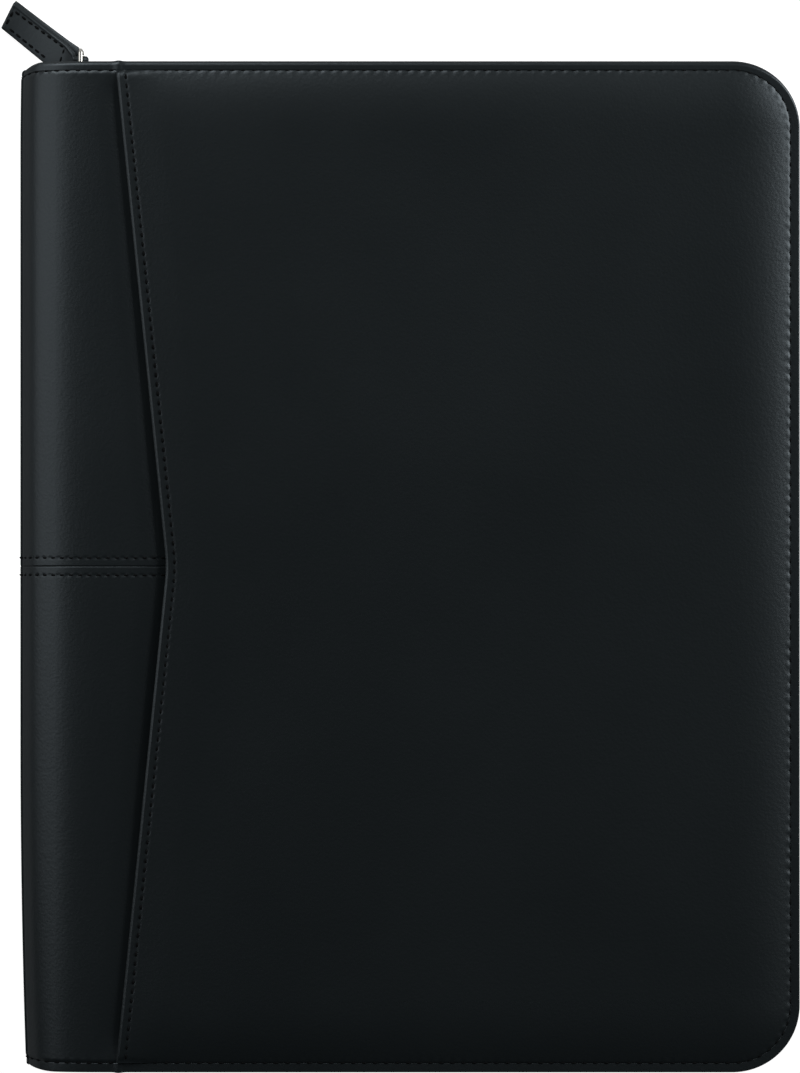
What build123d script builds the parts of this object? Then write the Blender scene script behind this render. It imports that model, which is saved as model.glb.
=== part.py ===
from build123d import *
from math import asin, cos, degrees, pi, radians, sin, sqrt
import os

os.makedirs("parts", exist_ok=True)

# A zippered padfolio, closed and lying on its back cover.
# X runs from the spine to the zip edge, Y to the top edge and Z up through the front cover.
# The origin is the centre of the back cover's resting face. All sizes are millimetres.

# The folio is made round its writing pad: the covers are the pad and a margin on each side.
pad_width = 215.9
pad_height = 298.5
pad_spine_margin = 31.05
pad_zip_margin = 15.05
pad_end_margin = 20.75
cover_width = pad_spine_margin + pad_width + pad_zip_margin
cover_height = pad_height + 2 * pad_end_margin

# Covers
corner_radius = 21.4
spine_radius = 12.0
leather = 1.2
foam = 1.6
board = 2.0
lining = 0.6
inside_depth = 15.4
board_setback = 19.0
crease_gap = 0.3

# Front pocket with its V-shaped edge
pocket_gap = 0.4
pocket_panel_thickness = 2.0
strip_width_end = 32.0
strip_width_middle = 49.3
apex_radius = 48.0
pocket_overlap = 14.0
crown_run = 9.0
crown_drop = 1.2
crown_shoulder_run = 3.0
crown_shoulder_drop = 0.5
back_crown_run = 7.0
back_crown_drop = 0.6
back_strip_width = 32.0

# Edge binding
binding_width = 3.2
binding_sink = 0.4
binding_lip = 0.5
binding_ease = 1.7
spine_binding_depth = 3.0
spine_binding_ease = 0.9

# Zip tapes and teeth
tape_inset = 6.0
tape_thickness = 0.7
tape_flange = 6.0
tape_end_inset = 7.0
tooth_pitch = 3.4
tooth_root = 1.65
tooth_tip = 1.25
tooth_overlap = 0.7
tooth_thickness = 2.2
rail_height = 1.6
rail_gap = 0.3

# Slider
slider_length = 12.0
slider_rest_inset = 19.6
slider_nose_width = 9.6
slider_tail_width = 8.4
slider_plate = 1.2
slider_corner = 1.2
slider_edge_chamfer = 0.3
slider_clearance = 0.3
flange_width = 1.1
diamond_length = 4.0
diamond_width = 2.4
bridge_length = 8.0
bridge_width = 2.4
bridge_wall = 1.2
bridge_round = 1.0
stop_length = 2.6
stop_gap = 2.6
stop_round = 0.4
stop_height = 2.2
bottom_stop_length = 5.0

# Pull ring and tab
wire_diameter = 1.5
wire_clearance = 0.25
ring_length = 7.2
ring_spread = 6.8
ring_corner = 0.8
tab_width = 9.1
tab_length = 28.5
tab_angle = 36.6
tab_layer = 1.3
tab_bore_clearance = 0.15
tab_split = 0.25
tab_split_length = 6.0
tab_loop_start = 3.2
tab_loop_length = 3.1
tab_head = 7.35
tab_shoulder = 3.2
tab_neck = 12.0
tab_tip_round = 1.8
tab_rest_gap = 0.3

# Writing pad and its sleeve
pad_thickness = 5.5
pad_backing = 1.0
pad_centre_x = (pad_spine_margin - pad_zip_margin) / 2
header_depth = 19.0
header_tape = 0.3
sleeve_thickness = 0.8
sleeve_margin = 1.6
sleeve_clearance = 0.2
sleeve_top_below_header = 6.0
glue_strip_gap = 1.0

# Organiser pockets inside the front cover
pocket_sheet = 0.8
file_pocket_spine_inset = 30.0
file_pocket_side_inset = 20.0
file_pocket_width = cover_width - file_pocket_spine_inset - file_pocket_side_inset
file_pocket_height = 158.0
file_pocket_bottom_inset = 14.0
thumb_notch_radius = 14.0
card_pocket_height = 58.0
card_pocket_step = 14.0
card_pocket_count = 3
card_pocket_bottom = 24.0
card_pocket_side_inset = 21.0
window_frame_width = 94.0
window_frame_height = 66.0
window_frame_spine_inset = 34.0
window_border = 6.0
window_corner = 4.0
window_film = 0.3
window_lap = 2.5
organiser_gap = 17.0
organiser_width = cover_width - window_frame_spine_inset - card_pocket_side_inset
card_pocket_width = organiser_width - window_frame_width - organiser_gap

# Pen loop
pen_loop_radius = 5.4
pen_loop_wall = 1.0
pen_loop_length = 38.0
pen_loop_centre_y = 40.0
pen_loop_base = 0.8
pen_loop_base_width = 10.0
pen_loop_bite = 0.3

# Levels, worked up from the table
half_width = cover_width / 2
half_height = cover_height / 2
spine_x = -half_width
back_foam_z = leather
back_board_z = back_foam_z + foam
back_lining_z = back_board_z + board
inside_floor = back_lining_z + lining
inside_roof = inside_floor + inside_depth
front_board_z = inside_roof + lining
front_foam_z = front_board_z + board
front_skin_z = front_foam_z + foam
skin_top = front_skin_z + leather
pocket_panel_z = skin_top + pocket_gap
folio_top = pocket_panel_z + pocket_panel_thickness
chain_z = (inside_floor + inside_roof) / 2

# Places shared by several pieces
face_half_height = half_height - binding_width
board_left = spine_x + board_setback
strip_end_x = spine_x + strip_width_end
strip_apex_x = spine_x + strip_width_middle
back_seam_x = spine_x + back_strip_width
arc_x = spine_x + spine_radius
upper_arc_z = skin_top - spine_radius
lower_arc_z = spine_radius
far = cover_width

# The covers crease on the spine's rolled corners. The upper crease is turned far enough
# that the open front cover lies on its pocket panel, level with the back cover.
lower_crease = 45.0
upper_crease = 45.0 + degrees(asin((folio_top - skin_top) / (spine_radius * sqrt(2))))

# The zip chain runs round the three open sides at one inset from the rim.
chain_inset = tape_inset + tape_thickness / 2
chain_y = half_height - chain_inset
chain_x = half_width - chain_inset
turn_radius = corner_radius - chain_inset
run_end_x = half_width - corner_radius
run_end_y = half_height - corner_radius
rail_inner = tooth_overlap + rail_gap
rail_outer = rail_inner + rail_height
tape_left = spine_x + tape_end_inset

# The slider at rest stands against the top stops, with the first teeth behind it.
slider_x = spine_x + slider_rest_inset
chain_start_x = slider_x + slider_length / 2 + slider_clearance
slot_half = tooth_thickness / 2 + slider_clearance
plate_outer_y = chain_y + slot_half + slider_plate
bottom_stop_x = chain_start_x - slider_clearance - bottom_stop_length / 2

# The ring hangs on its inner bar under the bridge, and the tab on the ring's lower wire.
ring_pivot_y = plate_outer_y + wire_clearance + wire_diameter / 2
tab_wire_z = chain_z - ring_spread / 2
tab_bore = wire_diameter / 2 + tab_bore_clearance
tab_loop_radius = tab_bore + tab_layer
tab_foot_y = ring_pivot_y + tab_loop_start
tab_loop_end_y = tab_foot_y + tab_loop_length
tab_reach = tab_length * cos(radians(tab_angle)) + tab_width * sin(radians(tab_angle))
tab_droop = degrees(asin((tab_wire_z - tab_rest_gap - tab_layer) / tab_reach))


def save(piece, name):
    """Label a finished piece and write it as one file."""
    piece.part.label = name
    export_step(piece.part, f"parts/{name}.step")


def draw_cover(inset, left, mode=Mode.ADD):
    """A cover's outline at an inset from the rim: square at the spine, rounded at the zip edge."""
    top = half_height - inset
    right = half_width - inset
    radius = corner_radius - inset
    with BuildLine() as outline:
        Polyline((run_end_x, top), (left, top), (left, -top), (run_end_x, -top))
        CenterArc((run_end_x, -run_end_y), radius, -90, 90)
        Line((right, -run_end_y), (right, run_end_y))
        CenterArc((run_end_x, run_end_y), radius, 0, 90)
    make_face(outline.edges(), mode=mode)


def draw_rim_band(outer_inset, inner_inset, left):
    """A band round the three open sides, between two insets and open at the spine."""
    draw_cover(outer_inset, left)
    draw_cover(inner_inset, left - far, mode=Mode.SUBTRACT)


def edge_x(y):
    """The V-shaped pocket edge: its X at a height up the cover."""
    return strip_apex_x + (strip_end_x - strip_apex_x) * abs(y) / half_height


def draw_pocket_panel(inset):
    """The pocket panel's outline, with its V-shaped edge towards the spine."""
    top = half_height - inset
    right = half_width - inset
    radius = corner_radius - inset
    with BuildLine() as outline:
        FilletPolyline(
            (run_end_x, top),
            (edge_x(top), top),
            (strip_apex_x, 0),
            (edge_x(top), -top),
            (run_end_x, -top),
            radius=[0, apex_radius, 0],
        )
        CenterArc((run_end_x, -run_end_y), radius, -90, 90)
        Line((right, -run_end_y), (right, run_end_y))
        CenterArc((run_end_x, run_end_y), radius, 0, 90)
    make_face(outline.edges())


def draw_sector(crease_angle, arc_z, side):
    """The part of the section past a crease: side is 1 above the front crease, -1 below the back one."""
    turn = radians(crease_angle)
    out = Vector(-cos(turn), side * sin(turn))
    along = Vector(sin(turn), side * cos(turn))
    centre = Vector(arc_x, arc_z)
    inner = centre + along * (crease_gap / 2)
    Polygon(
        inner,
        inner + out * far,
        Vector(far, arc_z + side * far),
        Vector(far, arc_z),
        align=None,
        mode=Mode.INTERSECT,
    )


def draw_spine_sector():
    """The part of the section between the two creases."""
    upper = radians(upper_crease)
    lower = radians(lower_crease)
    upper_out = Vector(-cos(upper), sin(upper))
    upper_along = Vector(sin(upper), cos(upper))
    lower_out = Vector(-cos(lower), -sin(lower))
    lower_along = Vector(sin(lower), -cos(lower))
    upper_inner = Vector(arc_x, upper_arc_z) - upper_along * (crease_gap / 2)
    lower_inner = Vector(arc_x, lower_arc_z) - lower_along * (crease_gap / 2)
    Polygon(
        upper_inner,
        upper_inner + upper_out * far,
        lower_inner + lower_out * far,
        lower_inner,
        align=None,
        mode=Mode.INTERSECT,
    )


def draw_skin_section(outer_depth, inner_depth, right, body):
    """A layer of the rolled spine in section, between two depths below its outer face."""
    for depth, end, mode in ((outer_depth, far, Mode.ADD), (inner_depth, 2 * far, Mode.SUBTRACT)):
        top = skin_top - depth
        left = spine_x + depth
        radius = spine_radius - depth
        with BuildLine() as outline:
            Polyline((arc_x, depth), (end, depth), (end, top), (arc_x, top))
            CenterArc((arc_x, upper_arc_z), radius, 90, 90)
            Line((left, upper_arc_z), (left, lower_arc_z))
            CenterArc((arc_x, lower_arc_z), radius, 180, 90)
        make_face(outline.edges(), mode=mode)
    with Locations((right, skin_top / 2)):
        Rectangle(far, far, align=(Align.MAX, Align.CENTER), mode=Mode.INTERSECT)
    if body == "front":
        draw_sector(upper_crease, upper_arc_z, 1)
    elif body == "back":
        draw_sector(lower_crease, lower_arc_z, -1)
    else:
        draw_spine_sector()


def along_spine(y):
    """A plane across the spine, for sections drawn in X and Z."""
    return Plane.XZ.offset(-y)


# Leather covers of the spine: an upper and a lower piece, meeting in a seam at mid height.
# Each is rolled from the front cover round the spine to the back cover.
skin_ends = {"front": strip_apex_x + pocket_overlap, "spine": arc_x, "back": back_seam_x}
for half, start_y in (("upper", 0.0), ("lower", -face_half_height)):
    for body, skin_end in skin_ends.items():
        with BuildPart() as spine_cover:
            with BuildSketch(along_spine(start_y)):
                draw_skin_section(0, leather, skin_end, body)
            extrude(amount=face_half_height, dir=(0, 1, 0))
        suffix = "" if body == "spine" else f"_{body}"
        save(spine_cover, f"spine_cover_{half}{suffix}")

# Spine lining, one layer under the leather, from board edge to board edge.
for body in skin_ends:
    with BuildPart() as spine_lining:
        with BuildSketch(along_spine(-face_half_height)):
            draw_skin_section(leather, leather + lining, board_left, body)
        extrude(amount=2 * face_half_height, dir=(0, 1, 0))
    suffix = "" if body == "spine" else f"_{body}"
    save(spine_lining, f"spine_lining{suffix}")

# Bindings across the two ends of the rolled spine.
for end, start_y in (("top", face_half_height), ("bottom", -half_height)):
    outer_y = half_height if end == "top" else -half_height
    with BuildPart() as spine_binding:
        with BuildSketch(along_spine(start_y)):
            draw_skin_section(binding_sink, binding_sink + spine_binding_depth, arc_x, "spine")
        extrude(amount=binding_width, dir=(0, 1, 0))
        end_face = spine_binding.faces().sort_by(lambda f: abs(f.center().Y - outer_y))[0]
        rolled = end_face.edges().filter_by(lambda e: e.center().X < spine_x + spine_binding_depth)
        chamfer(rolled.sort_by(Axis.X)[:3], spine_binding_ease)
    save(spine_binding, f"spine_binding_{end}")

# Pen loop: a round elastic loop on a flat base sewn to the spine lining.
pen_loop_outer = pen_loop_radius + pen_loop_wall
pen_base_depth = leather + lining
pen_loop_x = spine_x + pen_base_depth + pen_loop_base + pen_loop_outer - pen_loop_bite
spine_mid_z = skin_top / 2
with BuildPart() as pen_loop:
    with BuildSketch(along_spine(pen_loop_centre_y - pen_loop_length / 2)):
        draw_skin_section(pen_base_depth, pen_base_depth + pen_loop_base, arc_x, "spine")
        with Locations((spine_x, spine_mid_z)):
            Rectangle(2 * spine_radius, pen_loop_base_width, mode=Mode.INTERSECT)
        with Locations((pen_loop_x, spine_mid_z)):
            Circle(pen_loop_outer)
            Circle(pen_loop_radius, mode=Mode.SUBTRACT)
    extrude(amount=pen_loop_length, dir=(0, 1, 0))
save(pen_loop, "pen_loop")

# Stiff boards, foam and linings of the two covers.
for name, level, thickness in (
    ("back_foam", back_foam_z, foam),
    ("back_board", back_board_z, board),
    ("back_lining", back_lining_z, lining),
    ("front_lining", inside_roof, lining),
    ("front_board", front_board_z, board),
    ("front_foam", front_foam_z, foam),
):
    with BuildPart() as layer:
        with BuildSketch(Plane.XY.offset(level)):
            draw_cover(binding_width, board_left)
        extrude(amount=thickness)
    save(layer, name)

# Back panel: flat where it rests, and drawn up towards the binding.
with BuildPart() as back_panel:
    for level, inset in (
        (0, binding_width + back_crown_run),
        (back_crown_drop, binding_width),
        (leather, binding_width),
    ):
        with BuildSketch(Plane.XY.offset(level)):
            draw_cover(inset, back_seam_x)
    loft(ruled=True)
save(back_panel, "back_panel")

# Front pocket: the leather behind it, and the padded panel with its V-shaped open edge.
# The panel is crowned: it swells from the stitched rim to its flat middle.
with BuildPart() as front_pocket_back:
    with BuildSketch(Plane.XY.offset(front_skin_z)):
        draw_cover(binding_width, strip_apex_x + pocket_overlap)
    extrude(amount=leather)
save(front_pocket_back, "front_pocket_back")

with BuildPart() as front_pocket_panel:
    for level, inset in (
        (pocket_panel_z, binding_width),
        (folio_top - crown_drop, binding_width),
        (folio_top - crown_shoulder_drop, binding_width + crown_shoulder_run),
        (folio_top, binding_width + crown_run),
    ):
        with BuildSketch(Plane.XY.offset(level)):
            draw_pocket_panel(inset)
    loft(ruled=True)
save(front_pocket_panel, "front_pocket_panel")


# Edge bindings: a rounded leather band round each cover's three open sides, which carries on
# round the rolled spine as far as the crease.
def ease_outer_edges(piece, radius):
    """Ease the two long edges of a binding's outer face."""
    def on_rim(edge):
        middle = edge.position_at(0.5)
        on_side = abs(middle.X - half_width) < 0.01
        on_end = abs(abs(middle.Y) - half_height) < 0.01
        corner = Vector(run_end_x, run_end_y)
        reach = (Vector(middle.X, abs(middle.Y)) - corner).length
        on_turn = middle.X > run_end_x and abs(reach - corner_radius) < 0.01
        flat = abs(edge.position_at(0).Z - edge.position_at(1).Z) < 0.01
        along = abs(edge.position_at(0).Y - edge.position_at(1).Y) > 0.01 or on_end
        return flat and along and (on_side or on_end or on_turn)

    chamfer(piece.edges().filter_by(on_rim), radius)


def make_spine_end(body):
    """The binding's two short lengths on the rolled spine, out to the crease."""
    for start_y in (face_half_height, -half_height):
        with BuildSketch(along_spine(start_y)) as section:
            draw_skin_section(binding_sink, binding_sink + spine_binding_depth, arc_x, body)
        extrude(section.sketch, amount=binding_width, dir=(0, 1, 0))


with BuildPart() as back_binding:
    with BuildSketch(Plane.XY.offset(binding_sink)):
        draw_rim_band(0, binding_width, arc_x)
    extrude(amount=inside_floor + binding_lip - binding_sink)
    ease_outer_edges(back_binding, binding_ease)
    make_spine_end("back")
save(back_binding, "back_binding")

front_binding_z = inside_roof - binding_lip
front_binding_top = folio_top - crown_drop + binding_sink
with BuildPart() as front_binding:
    with BuildSketch(Plane.XY.offset(front_binding_z)):
        draw_rim_band(0, binding_width, strip_end_x)
    extrude(amount=front_binding_top - front_binding_z)
    ease_outer_edges(front_binding, binding_ease)
    for side in (1, -1):
        with BuildSketch(Plane.XY.offset(front_binding_z)):
            with Locations(((arc_x + strip_end_x) / 2, side * (half_height - binding_width / 2))):
                Rectangle(strip_end_x - arc_x, binding_width)
        extrude(amount=skin_top - binding_sink - front_binding_z)
    make_spine_end("front")
save(front_binding, "front_binding")

# Zip tapes: a standing band on each cover, with a flange sewn on the cover's lining.
for cover, base, rise in (("back", inside_floor, 1), ("front", inside_roof, -1)):
    with BuildPart() as zip_tape:
        with BuildSketch(Plane.XY.offset(base)):
            draw_rim_band(tape_inset, tape_inset + tape_thickness, tape_left)
        extrude(amount=rise * (abs(chain_z - base) - rail_outer))
        with BuildSketch(Plane.XY.offset(base)):
            draw_rim_band(tape_inset, tape_inset + tape_flange, board_left)
        extrude(amount=rise * tape_thickness)
    save(zip_tape, f"{cover}_zip_tape")


# Zip teeth: two combs that mesh half a pitch apart. Each is a rail along the edge of its tape
# with tapered teeth that reach past the middle of the chain.
def comb_outline(length, count, phase):
    """Outline of a straight comb: distance along it, and height towards the other row."""
    step = length / count
    points = [(0, 0), (0, rail_height)]
    for index in range(count):
        middle = (index + phase) * step
        tip = rail_height + rail_inner + tooth_overlap
        points.append((middle - tooth_root / 2, rail_height))
        points.append((middle - tooth_tip / 2, tip))
        points.append((middle + tooth_tip / 2, tip))
        points.append((middle + tooth_root / 2, rail_height))
    points.append((length, rail_height))
    points.append((length, 0))
    return points


def make_comb(start, direction, length, phase, rise):
    """One straight run of teeth, from a start point along a direction in plan."""
    normal = Vector(0, 0, rise).cross(Vector(direction)) * -1
    origin = Vector(start[0], start[1], chain_z - rise * rail_outer)
    count = max(1, round(length / tooth_pitch))
    with BuildSketch(Plane(origin=origin, x_dir=direction, z_dir=normal)) as comb:
        with BuildLine():
            Polyline(*comb_outline(length, count, phase), close=True)
        make_face()
    extrude(comb.sketch, amount=tooth_thickness / 2, both=True)


def make_turn(centre, start_angle, phase, rise):
    """The run of teeth round one corner of the cover."""
    inner = turn_radius - tooth_thickness / 2
    outer = turn_radius + tooth_thickness / 2
    level = chain_z - rise * rail_outer
    with BuildSketch(Plane.XY.offset(level)) as rail:
        with BuildLine():
            CenterArc(centre, outer, start_angle, -90)
            CenterArc(centre, inner, start_angle, -90)
            for angle in (start_angle, start_angle - 90):
                PolarLine(Vector(centre) + Vector(inner, 0).rotate(Axis.Z, angle), tooth_thickness, angle)
        make_face()
    extrude(rail.sketch, amount=rise * rail_height)
    count = max(1, round(turn_radius * pi / 2 / tooth_pitch))
    first = start_angle - 90 * phase / count
    with BuildSketch(Plane.XY.offset(level)) as teeth:
        with Locations(centre):
            with PolarLocations(turn_radius, count, first, -90 * (count - 1) / count, endpoint=True):
                Rectangle(tooth_thickness, tooth_tip)
    extrude(teeth.sketch, amount=rise * (rail_outer + tooth_overlap))


top_run = run_end_x - chain_start_x
side_run = 2 * run_end_y
bottom_run = run_end_x - bottom_stop_x - bottom_stop_length / 2 - slider_clearance
for cover, phase, rise in (("back", 0.25, 1), ("front", 0.75, -1)):
    with BuildPart() as teeth_top:
        make_comb((chain_start_x, chain_y), (1, 0, 0), top_run, phase, rise)
    save(teeth_top, f"{cover}_teeth_top")
    with BuildPart() as teeth_main:
        make_turn((run_end_x, run_end_y), 90, phase, rise)
        make_comb((chain_x, run_end_y), (0, -1, 0), side_run, phase, rise)
        make_turn((run_end_x, -run_end_y), 0, phase, rise)
        make_comb((run_end_x, -chain_y), (-1, 0, 0), bottom_run, phase, rise)
    save(teeth_main, f"{cover}_teeth_main")


# Metal stops: one clip on each tape ahead of the slider, and one box that holds both tapes
# at the bottom end of the zip.
def make_stop(middle_x, middle_y, length, low, high, slots):
    """A clip round the edge of a tape, slotted for the tape's thickness."""
    with BuildSketch(Plane.XY.offset(low)) as clip:
        with Locations((middle_x, middle_y)):
            RectangleRounded(length, tooth_thickness, stop_round)
    extrude(clip.sketch, amount=high - low)
    for slot_low, slot_high in slots:
        with BuildSketch(Plane.XY.offset(slot_low)) as slot:
            with Locations((middle_x, middle_y)):
                Rectangle(2 * length, tape_thickness)
        extrude(slot.sketch, amount=slot_high - slot_low, mode=Mode.SUBTRACT)


lower_edge = chain_z - rail_outer
upper_edge = chain_z + rail_outer
stop_x = slider_x - slider_length / 2 - stop_gap - stop_length / 2
with BuildPart() as back_top_stop:
    low = lower_edge - stop_height
    make_stop(stop_x, chain_y, stop_length, low, lower_edge + tape_thickness, [(low, lower_edge)])
save(back_top_stop, "back_top_stop")

with BuildPart() as front_top_stop:
    high = upper_edge + stop_height
    make_stop(stop_x, chain_y, stop_length, upper_edge - tape_thickness, high, [(upper_edge, high)])
save(front_top_stop, "front_top_stop")

with BuildPart() as bottom_stop:
    low = lower_edge - stop_height
    high = upper_edge + stop_height
    slots = [(low, lower_edge), (upper_edge - tape_thickness, high)]
    make_stop(bottom_stop_x, -chain_y, bottom_stop_length, low, high, slots)
save(bottom_stop, "bottom_stop")


# Slider: two plates joined by a diamond at the nose, with flanges that guide the two rows.
def slider_plane(y):
    """A plane facing out of the top edge, centred on the slider at rest."""
    return Plane(origin=(slider_x, y, chain_z), x_dir=(1, 0, 0), z_dir=(0, 1, 0))


def draw_slider_plate(margin=0.0, mode=Mode.ADD):
    """A slider plate's outline: wide at the nose, narrower at the tail."""
    nose = slider_nose_width / 2 - margin
    tail = slider_tail_width / 2 - margin
    reach = slider_length / 2 + (margin if mode == Mode.SUBTRACT else 0)
    outline = [(-reach, -nose), (reach, -tail), (reach, tail), (-reach, nose)]
    plate = Polygon(*outline, align=None, mode=mode)
    if mode == Mode.ADD:
        fillet(plate.vertices(), slider_corner)


tape_slot_half = tape_thickness / 2 + slider_clearance
with BuildPart() as slider_body:
    for plate_y in (chain_y + slot_half, chain_y - slot_half - slider_plate):
        with BuildSketch(slider_plane(plate_y)):
            draw_slider_plate()
        extrude(amount=slider_plate)
    flange_depth = slot_half - tape_slot_half
    for flange_y in (chain_y + tape_slot_half, chain_y - slot_half):
        with BuildSketch(slider_plane(flange_y)):
            draw_slider_plate()
            draw_slider_plate(flange_width, mode=Mode.SUBTRACT)
        extrude(amount=flange_depth)
    with BuildSketch(slider_plane(chain_y - slot_half)):
        nose_x = -slider_length / 2 + slider_corner / 2
        Polygon(
            (nose_x, -diamond_width / 2),
            (nose_x + diamond_length / 2, -diamond_width / 2),
            (nose_x + diamond_length, 0),
            (nose_x + diamond_length / 2, diamond_width / 2),
            (nose_x, diamond_width / 2),
            align=None,
        )
    extrude(amount=2 * slot_half)
    outer_face = slider_body.faces().sort_by(Axis.Y)[-1]
    chamfer(outer_face.edges(), slider_edge_chamfer)
save(slider_body, "slider_body")

# The bridge stands on the outer plate and holds the ring's inner bar.
bridge_opening = wire_diameter + 2 * wire_clearance
with BuildPart() as slider_bridge:
    with BuildSketch(Plane.XY.offset(chain_z - bridge_width / 2)):
        with Locations((slider_x, plate_outer_y)):
            bridge_height = bridge_opening + bridge_wall
            Rectangle(bridge_length, bridge_height, align=(Align.CENTER, Align.MIN))
            opening_length = bridge_length - 2 * bridge_wall
            Rectangle(opening_length, bridge_opening, align=(Align.CENTER, Align.MIN), mode=Mode.SUBTRACT)
    extrude(amount=bridge_width)
    top_corners = slider_bridge.edges().filter_by(Axis.Z).group_by(Axis.Y)[-1]
    fillet(top_corners, bridge_round)
save(slider_bridge, "slider_bridge")

# Pull ring: a rectangle of wire with bent corners, standing out of the bridge.
ring_side = ring_spread / 2
with BuildPart() as pull_ring:
    ring_plane = Plane(origin=(slider_x, ring_pivot_y, chain_z), x_dir=(0, 1, 0), z_dir=(1, 0, 0))
    with BuildLine(ring_plane) as ring_path:
        Polyline(
            (ring_length / 2, -ring_side),
            (ring_length - ring_corner, -ring_side),
            (ring_length, ring_corner - ring_side),
            (ring_length, ring_side - ring_corner),
            (ring_length - ring_corner, ring_side),
            (ring_corner, ring_side),
            (0, ring_side - ring_corner),
            (0, ring_corner - ring_side),
            (ring_corner, -ring_side),
            close=True,
        )
    with BuildSketch(Plane(origin=ring_path.line @ 0, z_dir=ring_path.line % 0)):
        Circle(wire_diameter / 2)
    sweep(path=ring_path.line, transition=Transition.RIGHT)
save(pull_ring, "pull_ring")

# Pull tab: a leather strip folded round the ring's lower wire, its two layers sewn together.
# It hangs from the wire and its tip lies on the table.
droop = radians(tab_droop)
tab_origin = (slider_x, 0, tab_wire_z)
tab_plane = Plane(origin=tab_origin, x_dir=(cos(droop), 0, sin(droop)), z_dir=(-sin(droop), 0, cos(droop)))
tab_section = Plane(origin=tab_origin, x_dir=(cos(droop), 0, sin(droop)), z_dir=(0, -1, 0))
lean = radians(tab_angle)
tab_axis = Vector(-cos(lean), sin(lean))
tab_across = Vector(sin(lean), cos(lean))
tab_top = Vector(0, ring_pivot_y + tab_head)
shoulder = tab_top + tab_axis * (tab_shoulder / cos(lean))
tip_top = tab_top + tab_axis * tab_length
tip_bottom = tip_top - tab_across * tab_width
neck_end = tip_bottom - tab_axis * (tab_length - tab_neck)
neck_foot = Vector(0, tab_foot_y)
loop_end = Vector(0, tab_loop_end_y)
shoulder_foot = Vector(-tab_shoulder, tab_loop_end_y)
with BuildPart() as pull_tab:
    with BuildSketch(tab_section):
        with BuildSketch(mode=Mode.PRIVATE) as fold:
            Circle(tab_loop_radius)
            with Locations((-tab_split_length, 0)):
                Rectangle(tab_layer, 2 * tab_layer)
            make_hull()
        add(fold.sketch)
        with Locations((-tab_split_length, 0)):
            Rectangle(tab_reach, 2 * tab_layer, align=(Align.MAX, Align.CENTER))
        Circle(tab_bore, mode=Mode.SUBTRACT)
        Rectangle(tab_split_length, tab_split, align=(Align.MAX, Align.CENTER), mode=Mode.SUBTRACT)
    extrude(amount=2 * far, both=True)
    with BuildSketch(tab_plane) as tab_plan:
        nose = Vector(2 * tab_loop_radius, 0)
        with BuildLine():
            Polyline(
                loop_end + nose,
                shoulder_foot,
                shoulder,
                tip_top,
                tip_bottom,
                neck_end,
                neck_foot,
                neck_foot + nose,
                close=True,
            )
        plan_face = make_face()
        tips = plan_face.vertices().sort_by(Axis.X)[:2]
        fillet(tips, tab_tip_round)
    extrude(amount=2 * tab_loop_radius, both=True, mode=Mode.INTERSECT)
save(pull_tab, "pull_tab")

# Writing pad: a backing board in the sleeve, the glued block of sheets over it, and the header tape.
pad_top = pad_height / 2
header_line = pad_top - header_depth
sleeve_top = header_line - sleeve_top_below_header
sleeve_z = inside_floor + pad_backing
sheets_z = sleeve_z + sleeve_thickness

with BuildPart() as pad_backing_board:
    with BuildSketch(Plane.XY.offset(inside_floor)):
        with Locations((pad_centre_x, 0)):
            Rectangle(pad_width, pad_height)
    extrude(amount=pad_backing)
save(pad_backing_board, "pad_backing_board")

with BuildPart() as pad_sleeve:
    sleeve_bottom = -pad_top - sleeve_margin
    with BuildSketch(Plane.XY.offset(inside_floor)):
        with Locations((pad_centre_x, sleeve_bottom)):
            Rectangle(
                pad_width + 2 * sleeve_margin, sleeve_top - sleeve_bottom, align=(Align.CENTER, Align.MIN)
            )
    extrude(amount=sheets_z - inside_floor)
    with BuildSketch(Plane.XY.offset(inside_floor)):
        with Locations((pad_centre_x, 0)):
            Rectangle(pad_width + 2 * sleeve_clearance, pad_height + 2 * sleeve_clearance)
    extrude(amount=pad_backing, mode=Mode.SUBTRACT)
save(pad_sleeve, "pad_sleeve")

with BuildPart() as writing_pad:
    with BuildSketch(Plane.XY.offset(sheets_z)):
        with Locations((pad_centre_x, 0)):
            Rectangle(pad_width, pad_height)
    extrude(amount=pad_thickness)
    with BuildSketch(Plane.XY.offset(sleeve_z)):
        with Locations((pad_centre_x, pad_top)):
            Rectangle(
                pad_width, pad_top - sleeve_top - glue_strip_gap, align=(Align.CENTER, Align.MAX)
            )
    extrude(amount=sleeve_thickness)
save(writing_pad, "writing_pad")

with BuildPart() as pad_header_tape:
    sheets_top = sheets_z + pad_thickness
    with BuildSketch(Plane.XY.offset(sheets_top)):
        with Locations((pad_centre_x, pad_top + header_tape)):
            Rectangle(pad_width, header_depth + header_tape, align=(Align.CENTER, Align.MAX))
    extrude(amount=header_tape)
    with BuildSketch(Plane.XY.offset(inside_floor)):
        with Locations((pad_centre_x, pad_top)):
            Rectangle(pad_width, header_tape, align=(Align.CENTER, Align.MIN))
    extrude(amount=sheets_top - inside_floor)
save(pad_header_tape, "pad_header_tape")

# Organiser inside the front cover: a file pocket, stepped card pockets and an identity card window.
file_right = half_width - file_pocket_side_inset
file_bottom = -half_height + file_pocket_bottom_inset
with BuildPart() as file_pocket:
    with BuildSketch(Plane.XY.offset(inside_roof)):
        with Locations((file_right, file_bottom)):
            Rectangle(file_pocket_width, file_pocket_height, align=(Align.MAX, Align.MIN))
        with Locations((file_right - file_pocket_width / 2, file_bottom + file_pocket_height)):
            Circle(thumb_notch_radius, mode=Mode.SUBTRACT)
    extrude(amount=-pocket_sheet)
save(file_pocket, "file_pocket")

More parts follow.
